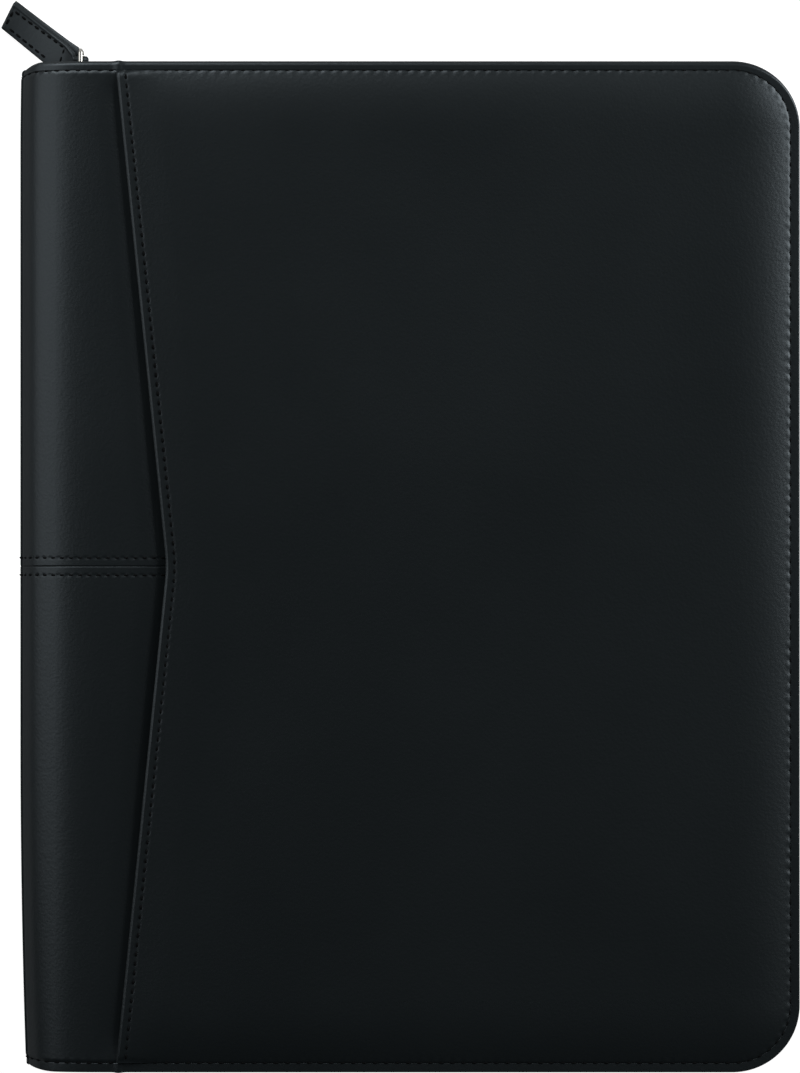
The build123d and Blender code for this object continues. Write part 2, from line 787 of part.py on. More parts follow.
card_right = half_width - card_pocket_side_inset
for number in range(card_pocket_count):
    height = card_pocket_height + (card_pocket_count - 1 - number) * card_pocket_step
    with BuildPart() as card_pocket:
        with BuildSketch(Plane.XY.offset(inside_roof - number * pocket_sheet)):
            with Locations((card_right, card_pocket_bottom)):
                Rectangle(card_pocket_width, height, align=(Align.MAX, Align.MIN))
        extrude(amount=-pocket_sheet)
    save(card_pocket, f"card_pocket_{number + 1}")

window_x = spine_x + window_frame_spine_inset + window_frame_width / 2
window_y = card_pocket_bottom + window_frame_height / 2
opening_width = window_frame_width - 2 * window_border
opening_height = window_frame_height - 2 * window_border
film_width = opening_width + 2 * window_lap
film_height = opening_height + 2 * window_lap
with BuildPart() as card_window_frame:
    with BuildSketch(Plane.XY.offset(inside_roof)):
        with Locations((window_x, window_y)):
            Rectangle(window_frame_width, window_frame_height)
            RectangleRounded(opening_width, opening_height, window_corner, mode=Mode.SUBTRACT)
    extrude(amount=-pocket_sheet)
    with BuildSketch(Plane.XY.offset(inside_roof)):
        with Locations((window_x, window_y)):
            Rectangle(film_width, film_height)
    extrude(amount=-window_film, mode=Mode.SUBTRACT)
save(card_window_frame, "card_window_frame")

with BuildPart() as card_window:
    with BuildSketch(Plane.XY.offset(inside_roof)):
        with Locations((window_x, window_y)):
            Rectangle(film_width, film_height)
    extrude(amount=-window_film)
save(card_window, "card_window")
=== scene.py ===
"""Dresses a packed zippered padfolio: leatherette, padding, thread, zip tape, metal, paper, light and camera.

The covers, spine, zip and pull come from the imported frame. Each soft piece is worked out here as a surface
over two parameters, in metres and in the frame's own axes, and moves with the body that carries it.
"""

import math

import bpy
import numpy as np
from bpy.props import FloatProperty, FloatVectorProperty, PointerProperty
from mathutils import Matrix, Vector


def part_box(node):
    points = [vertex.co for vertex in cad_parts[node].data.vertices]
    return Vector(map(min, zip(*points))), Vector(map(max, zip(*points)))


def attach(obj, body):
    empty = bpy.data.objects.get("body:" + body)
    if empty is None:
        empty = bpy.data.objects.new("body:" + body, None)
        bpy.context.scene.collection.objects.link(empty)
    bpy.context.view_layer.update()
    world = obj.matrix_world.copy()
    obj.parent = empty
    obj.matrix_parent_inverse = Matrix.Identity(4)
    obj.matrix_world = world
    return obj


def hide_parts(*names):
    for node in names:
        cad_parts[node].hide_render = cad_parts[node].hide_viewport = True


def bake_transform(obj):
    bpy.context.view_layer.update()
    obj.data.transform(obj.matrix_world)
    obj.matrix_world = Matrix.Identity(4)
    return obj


bl_info = {
    "name": "Padfolio dressing",
    "version": (1, 0, 0),
    "blender": (4, 5, 0),
    "location": "3D View > Sidebar > Padfolio",
    "description": "Builds the soft pieces, finishes and studio of a zippered padfolio on its packed frame",
    "category": "Add Mesh",
}

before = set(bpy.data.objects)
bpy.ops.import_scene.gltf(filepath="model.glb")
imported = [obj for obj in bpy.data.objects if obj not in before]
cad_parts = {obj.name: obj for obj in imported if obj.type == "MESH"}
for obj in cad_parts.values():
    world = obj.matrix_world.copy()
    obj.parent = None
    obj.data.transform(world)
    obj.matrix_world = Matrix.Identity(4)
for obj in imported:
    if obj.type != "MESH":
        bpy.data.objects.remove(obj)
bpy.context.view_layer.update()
rim_low, rim_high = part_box("front_binding")
back_rim_low, back_rim_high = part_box("back_binding")
panel_low, panel_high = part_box("front_pocket_panel")
MM = 0.001
UP = np.array((0, 0, 1.0))
COVERS = (("front", 1), ("back", -1))
ENDS = (("top", 1), ("bottom", -1))
ROLL_REACH = 6 * MM  # on each side of the line where the front strip starts to roll
LEATHER_PULL = 0.58  # the share of the binding's drawing in that the leather's end follows
END_EASE = 25 * MM  # the length over which leather and lining give way to their drawn-in ends
POCKET_LAP = 14 * MM  # how far the strip runs on behind the pocket edge
RIM_PUCKER, ROW_PUCKER = 2.2 * MM, 1.0 * MM  # reach of the puckers beside the rims' and the other stitches
END_RING = 0.03  # the share of its last step at which a band gets a ring close to its end
LONG_STITCH = 0.72  # the share of the pitch that a stitch takes on the pull tab and the organiser


def linear(hex_colour):
    """Linear RGB of an sRGB hex colour: a straight line below 0.04045 and a power of 2.4 above it."""
    channels = np.array([int(hex_colour[i:i + 2], 16) for i in (1, 3, 5)]) / 255
    return tuple(np.where(channels <= 0.04045, channels / 12.92, ((channels + 0.055) / 1.055) ** 2.4))


def length(name, description, metres):
    """A size that a user may change, shown in the scene's length unit."""
    return FloatProperty(name=name, description=description, default=metres, unit="LENGTH", precision=5)


def colour(name, description, hex_colour):
    """A colour that a user may change, given as sRGB hex."""
    return FloatVectorProperty(name=name, description=description, default=linear(hex_colour),
                               subtype="COLOR", size=3, min=0, max=1)


def lamp_power(name, description, watts):
    """A lamp's power that a user may change."""
    return FloatProperty(name=name, description=description, default=watts, unit="POWER")


class FolioSizes(bpy.types.PropertyGroup):
    """Sizes that the soft pieces are laid out from."""

    half_width: length("Half width", "From the middle of the back cover to the zip edge", rim_high.x)
    half_height: length("Half height", "From the middle of the back cover to the top edge", rim_high.y)
    corner_radius: length("Corner radius", "Rounding of the two corners at the zip edge, in plan", 22.6 * MM)
    chain_corner: length("Chain corner", "Corner radius that the zip's tapes and teeth keep to", 21.4 * MM)
    rim_width: length("Rim width", "Width of the bound rim, from the edge to its stitched ditch", 3.2 * MM)
    rim_low: length("Rim foot", "Height of the front rim's lower side", rim_low.z)
    rim_top: length("Rim top", "Height of the front rim beside the padded panel", rim_high.z - 2.0 * MM)
    strip_rim_top: length("Strip rim top", "Height of the front rim beside the plain spine strip", 25.8 * MM)
    back_rim_low: length("Back rim foot", "Height of the back rim's lower side", back_rim_low.z)
    back_rim_top: length("Back rim top", "Height of the back rim's upper side", back_rim_high.z)
    rim_depth: length("Spine rim depth", "Depth of the rim where it rolls round the spine", 3.4 * MM)
    spine_radius: length("Spine radius", "Radius of the spine's two rolled corners", 12 * MM)
    spine_bow: length("Spine bow", "How far the spine's leather stands out at mid height", 1.0 * MM)
    spine_sag: length("Spine sag", "How far the strip falls where it starts to roll", 1.9 * MM)
    strip_sink: length("Strip sink", "How far the strip is drawn down under the pocket edge", 1.55 * MM)
    end_pull: length("End pull", "How far the binding is drawn in where it turns round the spine", 5.2 * MM)
    skin_top: length("Skin top", "Height of the leather strip on the front cover", 26.2 * MM)
    leather: length("Leather", "Thickness of the leatherette", 1.2 * MM)
    panel_top: length("Panel top", "Height of the padded panel's flat middle", panel_high.z)
    panel_floor: length("Panel floor", "Height of the padded panel's underside", panel_low.z)
    strip_end: length("Strip width at the ends", "From the spine to both ends of the pocket edge", 32 * MM)
    strip_middle: length("Strip width in the middle", "From the spine to the pocket edge's point", 49.3 * MM)
    apex_radius: length("Point radius", "Rounding of the point of the pocket edge", 48 * MM)
    crown_run: length("Crown run", "How far in from the ditch the panel keeps rising", 24 * MM)
    crown_drop: length("Crown drop", "How far the panel falls towards its rim", 2.5 * MM)
    mouth_lift: length("Mouth lift", "How far the pocket edge stands up at its point", 0.9 * MM)
    ditch_run: length("Ditch run", "Width of the ditch that the rim's stitches pull", 0.7 * MM)
    ditch_drop: length("Ditch drop", "Depth of the ditch that the rim's stitches pull", 0.2 * MM)
    back_seam: length("Back strip width", "From the spine to the straight seam on the back cover", 32 * MM)
    board_setback: length("Board setback", "From the spine to the boards' edge", 19 * MM)
    inside_floor: length("Inside floor", "Height of the back cover's lining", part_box("back_lining")[1].z)
    inside_roof: length("Inside roof", "Height of the front cover's lining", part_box("front_lining")[0].z)
    lining: length("Lining", "Thickness of the lining cloth", 0.6 * MM)


class StitchSizes(bpy.types.PropertyGroup):
    """Thread and the spacing of its stitches."""

    thread: length("Thread", "Diameter of the sewing thread", 0.72 * MM)
    rim_pitch: length("Rim pitch", "Stitch spacing along the rims", 3.7 * MM)
    hem_pitch: length("Hem pitch", "Stitch spacing along the pocket edge", 3.15 * MM)
    seam_pitch: length("Seam pitch", "Stitch spacing beside the spine's seam", 3.1 * MM)
    tab_pitch: length("Tab pitch", "Stitch spacing on the pull tab", 2.8 * MM)
    rim_inset: length("Rim row", "From the edge to the rim's stitches", 3.25 * MM)
    hem_inset: length("Hem row", "From the pocket edge to its stitches", 3.0 * MM)
    seam_offset: length("Seam rows", "From the spine's seam to the stitches on each side", 2.9 * MM)


class FinishColours(bpy.types.PropertyGroup):
    """Colours of the finishes."""

    leather: colour("Leatherette", "Black coated leatherette", "#090d0e")
    leather_worn: colour("Leatherette, rubbed", "The same where light handling has dulled it", "#0b0f10")
    thread: colour("Thread", "Black polyester thread", "#050607")
    tape: colour("Zip tape", "Black woven zip tape", "#111315")
    lining: colour("Lining", "Black woven lining", "#141719")
    nickel: colour("Nickel", "Bright nickel plate", "#d3d2cc")
    teeth: colour("Zip teeth", "Black moulded teeth", "#101214")
    paper: colour("Paper", "Writing paper", "#efebdd")
    rule: colour("Ruled line", "Pale blue ruling on the paper", "#9db4c8")
    header: colour("Header tape", "Cloth tape over the pad's glued end", "#2a3033")
    board: colour("Grey board", "Grey stiffening board", "#8b867b")
    elastic: colour("Elastic", "Pen loop elastic", "#131516")


class StudioSizes(bpy.types.PropertyGroup):
    """Camera, lamps and floor."""

    camera_distance: length("Camera distance", "From the camera to the front cover", 1.5)
    frame_height: length("Frame height", "Height of the picture on the front cover", 359.9 * MM)
    look_x: length("Look at, across", "Picture's middle, across from the middle of the cover", -3.37 * MM)
    look_y: length("Look at, up", "Picture's middle, up from the middle of the cover", 10.1 * MM)
    spine_lamp: lamp_power("Spine lamp", "Softbox over the spine side", 4)
    zip_lamp: lamp_power("Zip lamp", "Low softbox past the zip edge", 13.5)
    top_lamp: lamp_power("Top lamp", "Softbox past the top edge", 6)
    floor_size: length("Floor size", "Side of the square floor", 6)


def sizes():
    """The folio's sizes in the scene."""
    return bpy.context.scene.folio_sizes


def stitch():
    """The stitch sizes in the scene."""
    return bpy.context.scene.folio_stitches


def tint(name, share=1):
    """One finish colour as linear RGBA, or a share of it."""
    return (*(min(1, share * value) for value in getattr(bpy.context.scene.folio_colours, name)), 1)


# Surfaces


def together(*values):
    """Values side by side on a new last axis, each stretched to the shape that they share."""
    return np.stack(np.broadcast_arrays(*values), axis=-1)


def ease(value):
    """Rises from 0 to 1 with level ends: 3t squared less 2t cubed."""
    t = np.clip(value, 0, 1)
    return t * t * (3 - 2 * t)


def fall(distance, reach, power=2):
    """Falls from 1 to 0 over a reach: the share of the way that is left, to a power."""
    return (1 - np.clip(distance / reach, 0, 1)) ** power


def bell(offset, width):
    """A bell curve: e to the minus square of the offset over the width."""
    return np.exp(-((offset / width) ** 2))


def unit(vectors):
    """Vectors divided by their own lengths."""
    return vectors / np.linalg.norm(vectors, axis=-1, keepdims=True)


def distances(path):
    """How far each point of a path lies from its start: the steps' lengths, summed up."""
    return np.concatenate(([0], np.cumsum(np.linalg.norm(np.diff(path, axis=0), axis=1))))


def stood(section, y):
    """A section's X and Z with a Y between them."""
    return together(section[..., 0], y, section[..., 1])


def grid_quads(rows, columns, wrap_rows=False, wrap_columns=False):
    """Corners of a grid's quads: each joins a point to its neighbours in the next column and the next row."""
    row, column = np.meshgrid(
        np.arange(rows if wrap_rows else rows - 1),
        np.arange(columns if wrap_columns else columns - 1),
        indexing="ij",
    )
    next_row, next_column = (row + 1) % rows, (column + 1) % columns
    corners = (row * columns + column, row * columns + next_column,
               next_row * columns + next_column, next_row * columns + column)
    return np.stack(corners, axis=-1).reshape(-1, 4)


def make_piece(name, points, faces, finish, maps=None, flat_faces=0):
    """A smooth mesh object at the origin from points and faces, with UV maps in metres; its last faces may be
    flat."""
    mesh = bpy.data.meshes.new(name)
    mesh.from_pydata(np.asarray(points).tolist(), [], faces)
    smooth = np.ones(len(mesh.polygons), bool)
    smooth[len(smooth) - flat_faces:] = False
    mesh.polygons.foreach_set("use_smooth", smooth)
    corners = np.empty(len(mesh.loops), np.int32)
    mesh.loops.foreach_get("vertex_index", corners)
    for map_name, values in (maps or {}).items():
        layer = mesh.uv_layers.new(name=map_name)
        layer.uv.foreach_set("vector", np.asarray(values, np.float32)[corners].ravel())
    mesh.materials.append(finish)
    mesh.update()
    piece = bpy.data.objects.new(name, mesh)
    bpy.context.scene.collection.objects.link(piece)
    return piece


def closed_skin(name, front, back, finish, maps=None):
    """A closed piece between two grids of points: the front grid, the back grid turned over, and a wall that
    joins their borders. Rows run up and columns run across, seen from the front."""
    rows, columns = front.shape[:2]
    count = rows * columns
    quads = grid_quads(rows, columns)
    number = np.arange(count).reshape(rows, columns)
    border = np.concatenate((number[0], number[1:, -1], number[-1, -2::-1], number[-2:0:-1, 0]))
    following = np.roll(border, -1)
    wall = np.stack((border, border + count, following + count, following), axis=-1)
    points = np.concatenate((front.reshape(-1, 3), back.reshape(-1, 3)))
    faces = np.concatenate((quads, quads[:, ::-1] + count, wall)).tolist()
    doubled = {key: np.tile(value.reshape(-1, 2), (2, 1)) for key, value in (maps or {}).items()}
    return make_piece(name, points, faces, finish, doubled, flat_faces=len(wall))


def carried(path, across, up, profile, closed=False):
    """A closed profile carried along a path: each point is the path's point, plus the profile's first number
    along across and its second along up. A ring close to each open end keeps the end's turn out of the band's
    shading. Returns points, faces with end caps, and a map of distance along and around."""
    sides = profile.shape[-2]
    across, up = np.broadcast_to(across, path.shape), np.broadcast_to(up, path.shape)
    profile = np.broadcast_to(profile, (len(path), sides, 2))
    points = path[:, None] + across[:, None] * profile[..., :1] + up[:, None] * profile[..., 1:]
    outward = np.sum(np.cross(across, up)[:-1] * np.diff(path, axis=0)) > 0
    if not closed:
        path, points = (
            np.concatenate((line[:1], line[:1] + END_RING * (line[1:2] - line[:1]), line[1:-1],
                            line[-1:] + END_RING * (line[-2:-1] - line[-1:]), line[-1:]))
            for line in (path, points))
    count = len(path)
    faces = grid_quads(count, sides, wrap_rows=closed, wrap_columns=True).tolist()
    if not closed:
        faces += [list(range(sides))[::-1], list(range((count - 1) * sides, count * sides))]
    if not outward:
        faces = [face[::-1] for face in faces]
    uv = together(distances(path)[:, None], distances(profile[0])).reshape(-1, 2)
    return points.reshape(-1, 3), faces, uv


def joined(*parts):
    """Points, faces and maps of several surfaces as one."""
    starts = np.cumsum([0] + [len(points) for points, _, _ in parts[:-1]])
    faces = [[corner + int(start) for corner in face]
             for (_, made, _), start in zip(parts, starts) for face in made]
    return np.concatenate([p for p, _, _ in parts]), faces, np.concatenate([uv for _, _, uv in parts])


def make_band(name, finish, *parts, flat_faces=0):
    """One piece from carried profiles, with their map of distance along and around."""
    points, faces, uv = joined(*parts)
    return make_piece(name, points, faces, finish, {"cloth": uv}, flat_faces)


def make_stitches(name, finish, rows):
    """One piece from rows of stitches."""
    return make_piece(name, *joined(*rows)[:2], finish)


def rounded_profile(low, high, sharpness, sides):
    """A superellipse between two corners: cosine and sine, each raised to the same power, so that a high
    sharpness nears a rectangle."""
    angle = np.linspace(0, 2 * np.pi, sides, endpoint=False)
    wave = together(np.cos(angle), np.sin(angle))
    shape = np.sign(wave) * np.abs(wave) ** (2 / sharpness)
    low, high = np.asarray(low)[..., None, :], np.asarray(high)[..., None, :]
    return (low + high) / 2 + shape * (high - low) / 2


def rounded_box(low, high, radii, steps=9):
    """A rectangle between two corners whose own corners are quarter circles, each with its own radius: outer
    foot, inner foot, inner top, outer top. Points crowd towards the ends of each quarter, so that the flats
    stay flat."""
    angle = np.pi / 2 * (ease(np.linspace(0, 1, steps)) + np.arange(2, 6)[:, None])
    wave = together(np.cos(angle), np.sin(angle))
    side = np.array(((0, 0), (1, 0), (1, 1), (0, 1)))
    radius = radii[..., None]
    low, high = low[..., None, :], high[..., None, :]
    centre = low + (high - low) * side + radius * (1 - 2 * side)
    points = centre[..., None, :] + radius[..., None] * wave
    return points.reshape(*points.shape[:-3], -1, 2)


def rim_path(left, radius=None, step=1.5 * MM, roll_run=24 * MM):
    """Plan of a cover's three open sides from the spine along the top, round the zip edge and back along the
    bottom: a circle's centre slides along the runs while its radius turns at the corners. Points crowd at
    both ends, where the rims start to roll. Returns points and outward normals."""
    size = sizes()
    radius = radius or size.corner_radius
    run = size.half_width - radius - left
    turn = radius * math.pi / 2
    side = 2 * (size.half_height - radius)
    ends = np.cumsum([run, turn, side, turn, run])
    roll = np.linspace(0, roll_run, 48, endpoint=False)
    start = roll[-1] + step / 3
    middle = np.linspace(start, ends[-1] - start, int(ends[-1] / step))
    along = np.concatenate((roll, middle, ends[-1] - roll[::-1]))
    angle = np.pi / 2 * (1 - np.clip((along - ends[0]) / turn, 0, 1)
                         - np.clip((along - ends[2]) / turn, 0, 1))
    normal = together(np.cos(angle), np.sin(angle), 0.0)
    centre = together(left + np.clip(along, 0, run) - np.clip(along - ends[3], 0, run),
                      side / 2 - np.clip(along - ends[1], 0, side), 0.0)
    return centre + radius * normal, normal


def rim_place(x, y, inset):
    """Where plan points lie against a cover's rim: the distance along it from the middle of the zip edge, and
    the depth inside it, which is the distance to a rounded box that is open at the spine."""
    size = sizes()
    straight = size.half_height - size.corner_radius
    past_x, past_y = x - (size.half_width - size.corner_radius), np.abs(y) - straight
    outside = np.hypot(np.maximum(past_x, 0), np.maximum(past_y, 0))
    depth = size.corner_radius - inset - outside - np.minimum(np.maximum(past_x, past_y), 0)
    angle = np.arctan2(np.maximum(past_y, 0), np.maximum(past_x, 1e-9))
    on_end = past_y > past_x
    run = np.where(on_end, straight - np.minimum(past_x, 0), np.abs(y))
    run = np.where((past_x > 0) & (past_y > 0), straight, run)
    row_radius = size.corner_radius - stitch().rim_inset
    return run + row_radius * np.where((past_x > 0) | on_end, angle, 0), depth


def rim_reach():
    """The rim's row of stitches, measured from the middle of the zip edge to where the rim starts to roll."""
    size = sizes()
    return float(rim_place(size.spine_radius - size.half_width, size.half_height, 0)[0])


def rim_crest(x):
    """Height of the front rim's top: it steps up from the plain strip to the padded panel over 3 mm, and
    falls where the strip starts to roll."""
    size = sizes()
    step = ease((x - size.strip_end + size.half_width + 1.5 * MM) / (3 * MM))
    return (size.strip_rim_top + (size.rim_top - size.strip_rim_top) * step
            - strip_sag(size.spine_radius - size.half_width - x))


def cover_grid(left, left_run=14 * MM, right_run=24 * MM):
    """Plan grid of a cover inside its rim: rows crowd towards the rounded corners by the sine of their angle,
    and columns crowd towards both edges by a power of their number. left is the left edge, or a function that
    gives it at each height."""
    size = sizes()
    radius = size.corner_radius - size.rim_width
    straight = size.half_height - size.corner_radius
    corner = straight + radius * np.sin(np.linspace(0, np.pi / 2, 18))
    y = np.concatenate((-corner[::-1], np.linspace(-straight, straight, 121)[1:-1], corner))
    bulge = np.sqrt(np.maximum(radius**2 - np.maximum(np.abs(y) - straight, 0) ** 2, 0))
    right = size.half_width - size.corner_radius + bulge
    start = left(y) if callable(left) else np.full_like(y, left)
    middle = np.linspace(0, 1, 34)[1:-1] * (right - start - left_run - right_run)[:, None]
    x = np.concatenate((start[:, None] + left_run * np.linspace(0, 1, 40) ** 1.5,
                        (start + left_run)[:, None] + middle,
                        right[:, None] - right_run * np.linspace(1, 0, 34) ** 1.7), axis=1)
    return x, np.broadcast_to(y[:, None], x.shape)


def pocket_lean():
    """The angle at which each half of the pocket edge leans."""
    size = sizes()
    return math.atan((size.strip_middle - size.strip_end) / size.half_height)


def pocket_edge(y):
    """The V-shaped pocket edge: two straight slopes that meet in a circle at the middle of the cover."""
    size, lean = sizes(), pocket_lean()
    slope, tangent = math.tan(lean), size.apex_radius * math.sin(lean)
    point = size.strip_middle - size.half_width
    centre = point - slope * tangent - size.apex_radius * math.cos(lean)
    bend = centre + np.sqrt(np.maximum(size.apex_radius**2 - y**2, 0))
    return np.where(np.abs(y) < tangent, bend, point - slope * np.abs(y))


def arch(y):
    """1 at mid height and 0 at both ends of the folio: the square of a cosine."""
    return np.cos(np.pi * y / (2 * sizes().half_height)) ** 2


def pocket_sink(depth):
    """How far the pocket's two layers are drawn down at a depth inside the rim: a parabola over 14 mm."""
    return 1.25 * MM * fall(depth, 14 * MM)


def strip_sink(short, y):
    """How far the strip is drawn down at a distance short of the pocket edge: a parabola over 8 mm, most at
    the point of the edge, that fades towards the rims."""
    size = sizes()
    near_rim = ease((size.half_height - size.rim_width - np.abs(y)) / (10 * MM))
    return size.strip_sink * (0.75 + 0.25 * arch(y)) * near_rim * fall(short, 8 * MM)


def roll_centre(top):
    """Height of the centre of a rolled corner of the spine."""
    size = sizes()
    return size.skin_top - size.spine_radius if top > 0 else size.spine_radius


def spine_section(flat, top, steps):
    """Section of the rolled spine from the flat of a cover to the middle of the spine: a straight run, a
    quarter circle and a short straight. top is 1 on the front cover and -1 on the back. Returns the distance
    along, X with Z, and the outward normal."""
    size = sizes()
    turn = size.spine_radius * math.pi / 2
    tail = abs(roll_centre(top) - size.skin_top / 2)
    run = np.concatenate((np.linspace(0, flat, steps if flat else 0, endpoint=False),
                          flat + np.linspace(0, turn, 2 * steps, endpoint=False),
                          flat + turn + np.linspace(0, tail, 3)))
    angle = np.clip((run - flat) / size.spine_radius, 0, math.pi / 2)
    start = size.spine_radius - size.half_width + flat
    x = start - np.clip(run, 0, flat) - size.spine_radius * np.sin(angle)
    z = roll_centre(top) + top * (size.spine_radius * np.cos(angle) - np.clip(run - flat - turn, 0, tail))
    return run, together(x, z), together(-np.sin(angle), top * np.cos(angle))


def spine_ease(run, flat, top, y):
    """How far the spine's skin lies under its plain section: it sags where the front strip starts to roll,
    and bows out towards mid height by an amount that fades at the bottom end of the folio."""
    size = sizes()
    past = run - flat
    low = np.clip((-y - 60 * MM) / (110 * MM), 0, 1)
    high = np.clip((y - 140 * MM) / (30 * MM), 0, 1)
    bow = size.spine_bow * (1 - 1.9 * low * low) - 0.3 * MM * high**2
    sag = 0 * past
    if top > 0:
        sag, bow = strip_sag(past), bow + ROLL_REACH**2 / (6 * size.spine_radius)
    return sag - bow * ease(past / (size.spine_radius * 1.6))


def strip_sag(past):
    """The front strip's fall at a distance past the start of its roll: a bell curve, and two cubics that let
    the roll's bend grow evenly over a reach to each side of its start."""
    size = sizes()
    before, after = np.clip(past, -ROLL_REACH, 0) + ROLL_REACH, ROLL_REACH - np.clip(past, 0, ROLL_REACH)
    roll = (before**3 + ROLL_REACH**3 - after**3) / (12 * ROLL_REACH * size.spine_radius)
    return size.spine_sag * bell(past - 8 * MM, 12 * MM) + roll


def end_pull(x, way, share=1.0):
    """How far the spine's end is drawn in at X: a quarter ellipse, short and deep at the top end, long and
    shallow at the bottom. The leather's own end is drawn in by a share of what the binding is."""
    size = sizes()
    start, span, deep = (5 * MM, 6.6 * MM, 1.0) if way > 0 else (12 * MM, 13.2 * MM, 0.4)
    t = np.clip((start - size.half_width - x) / span, 0, 1)
    return deep * size.end_pull * share * (1 - np.sqrt(1 - t * t))


def stitch_row(path, up, pitch, thread, share=0.52, first=None):
    """Stitches spaced evenly along a path, an even number of them about its middle, or from a first place on:
    each is a ring of sides carried along a short arch whose ends dip and narrow. share is a stitch's share of
    the pitch."""
    run = distances(path)
    half = max(1, int(run[-1] / (2 * pitch) + 0.5))
    place = run[-1] / 2 + (np.arange(-half, half) + 0.5) * pitch
    if first is not None:
        place = np.arange(first, run[-1], pitch)

    def follow(values, at):
        """The values at places along the path."""
        return together(*(np.interp(at, run, values[:, axis]) for axis in range(3)))

    along = unit(follow(path, place + pitch / 8) - follow(path, place - pitch / 8))
    over = follow(np.broadcast_to(up, path.shape), place)
    side = unit(np.cross(over, along))
    sides, station = 6, np.array([-1, -0.8, 0, 0.8, 1])
    around = np.linspace(0, 2 * np.pi, sides, endpoint=False)
    radius = thread / 2 * np.array([0.35, 0.85, 1, 0.85, 0.35])
    rise = thread * 0.45 * (1 - station**2) - thread * 0.25
    shape = (follow(path, place)[:, None, None]
             + along[:, None, None] * (pitch * share / 2 * station)[None, :, None, None]
             + side[:, None, None] * (radius[:, None] * np.cos(around))[None, :, :, None]
             + over[:, None, None] * (rise[:, None] + radius[:, None] * np.sin(around))[None, :, :, None])
    count = station.size * sides
    starts = count * np.arange(len(place))[:, None, None]
    caps = np.stack((np.arange(sides)[::-1], np.arange(count - sides, count)))
    faces = (grid_quads(station.size, sides, wrap_columns=True) + starts).reshape(-1, 4).tolist()
    faces += (caps + starts).reshape(-1, sides).tolist()
    return shape.reshape(-1, 3), faces, np.zeros((count * len(place), 2))


# Finishes


def node(tree, kind, inputs=None, **settings):
    """Adds one node, sets its own settings, and fills its inputs with values, or with links to a socket or to
    another node's first output."""
    made = tree.nodes.new("ShaderNode" + kind)
    for key, value in settings.items():
        setattr(made, key, value)
    for key, value in (inputs or {}).items():
        if isinstance(value, bpy.types.Node):
            value = value.outputs[0]
        if isinstance(value, bpy.types.NodeSocket):
            tree.links.new(value, made.inputs[key])
        else:
            made.inputs[key].default_value = value
    return made


def new_finish(name):
    """An empty material and its node tree."""
    material = bpy.data.materials.new(name)
    material.use_nodes = True
    material.node_tree.nodes.clear()
    return material, material.node_tree


def coat(material, inputs):
    """Adds the shader, with values and links on its sockets, and the output to a material."""
    shader = node(material.node_tree, "BsdfPrincipled", inputs)
    node(material.node_tree, "OutputMaterial", {"Surface": shader})
    return material


def leatherette(use, rows=(), rough=(0.35, 0.41)):
    """Polyurethane-coated leatherette, embossed with a fine pebble grain and satin-rolled: black, with a soft
    wide highlight that the grain breaks up, and puckers between the stitches of each row that is named by its
    map."""
    material, tree = new_finish("coated leatherette, " + use)
    place = node(tree, "TexCoord").outputs["Object"]
    # Pebbles are about 0.4 mm on the real coating, and are drawn at 0.9 mm so that they show in the picture.
    pebble = node(tree, "TexVoronoi", {"Vector": place, "Scale": 1 / (0.9 * MM)}, feature="SMOOTH_F1")
    furrow = node(tree, "TexNoise", {"Vector": place, "Scale": 1 / (2.2 * MM), "Detail": 4})
    grain = node(tree, "Math", {0: pebble, 1: furrow}, operation="ADD")
    bump = node(tree, "Bump", {"Height": grain, "Strength": 0.4, "Distance": 0.08 * MM})
    handled = node(tree, "TexNoise", {"Vector": place, "Scale": 1 / (70 * MM), "Detail": 3})
    wear = node(tree, "MapRange", {"Value": handled, "From Min": 0.35, "From Max": 0.7})
    shade = node(tree, "Mix", {0: wear, 6: tint("leather"), 7: tint("leather_worn")}, data_type="RGBA")
    # The pebbles' flanks scatter light at a glancing angle, so the gloss dulls there.
    glance = node(tree, "LayerWeight", {"Blend": 0.5}).outputs["Facing"]
    dull = node(tree, "MapRange", {"Value": glance, "From Min": 0.25, "From Max": 0.7, "To Min": 0,
                                   "To Max": 0.32}, interpolation_type="SMOOTHSTEP")
    gloss = node(tree, "MapRange", {"Value": handled, "To Min": rough[0], "To Max": rough[1]})
    gloss = node(tree, "Math", {0: gloss, 1: dull}, operation="ADD")
    # Hand-fed stitches pull unevenly, over lengths of about 18 mm.
    feed = node(tree, "TexNoise", {"Vector": place, "Scale": 1 / (18 * MM), "Detail": 2})
    pull = node(tree, "MapRange", {"Value": feed, "From Min": 0.35, "From Max": 0.65, "To Min": 0.25,
                                   "To Max": 1.1})
    for map_name, pitch, reach in rows:
        spot = node(tree, "SeparateXYZ", {"Vector": node(tree, "UVMap", uv_map=map_name)}).outputs
        turn = node(tree, "Math", {0: spot["X"], 1: 2 * math.pi / pitch}, operation="MULTIPLY")
        wave = node(tree, "Math", {0: turn}, operation="COSINE")
        near = node(tree, "MapRange", {"Value": spot["Y"], "From Min": 0, "From Max": reach, "To Min": pull,
                                       "To Max": 0}, interpolation_type="SMOOTHSTEP")
        pucker = node(tree, "Math", {0: wave, 1: near}, operation="MULTIPLY")
        bump = node(tree, "Bump", {"Height": pucker, "Strength": 0.4, "Distance": 0.2 * MM, "Normal": bump})
    # The coating's gloss is a shade cool.
    return coat(material, {"Base Color": shade.outputs[2], "Roughness": gloss, "Normal": bump,
                           "Specular Tint": (0.8, 0.92, 1, 1)})


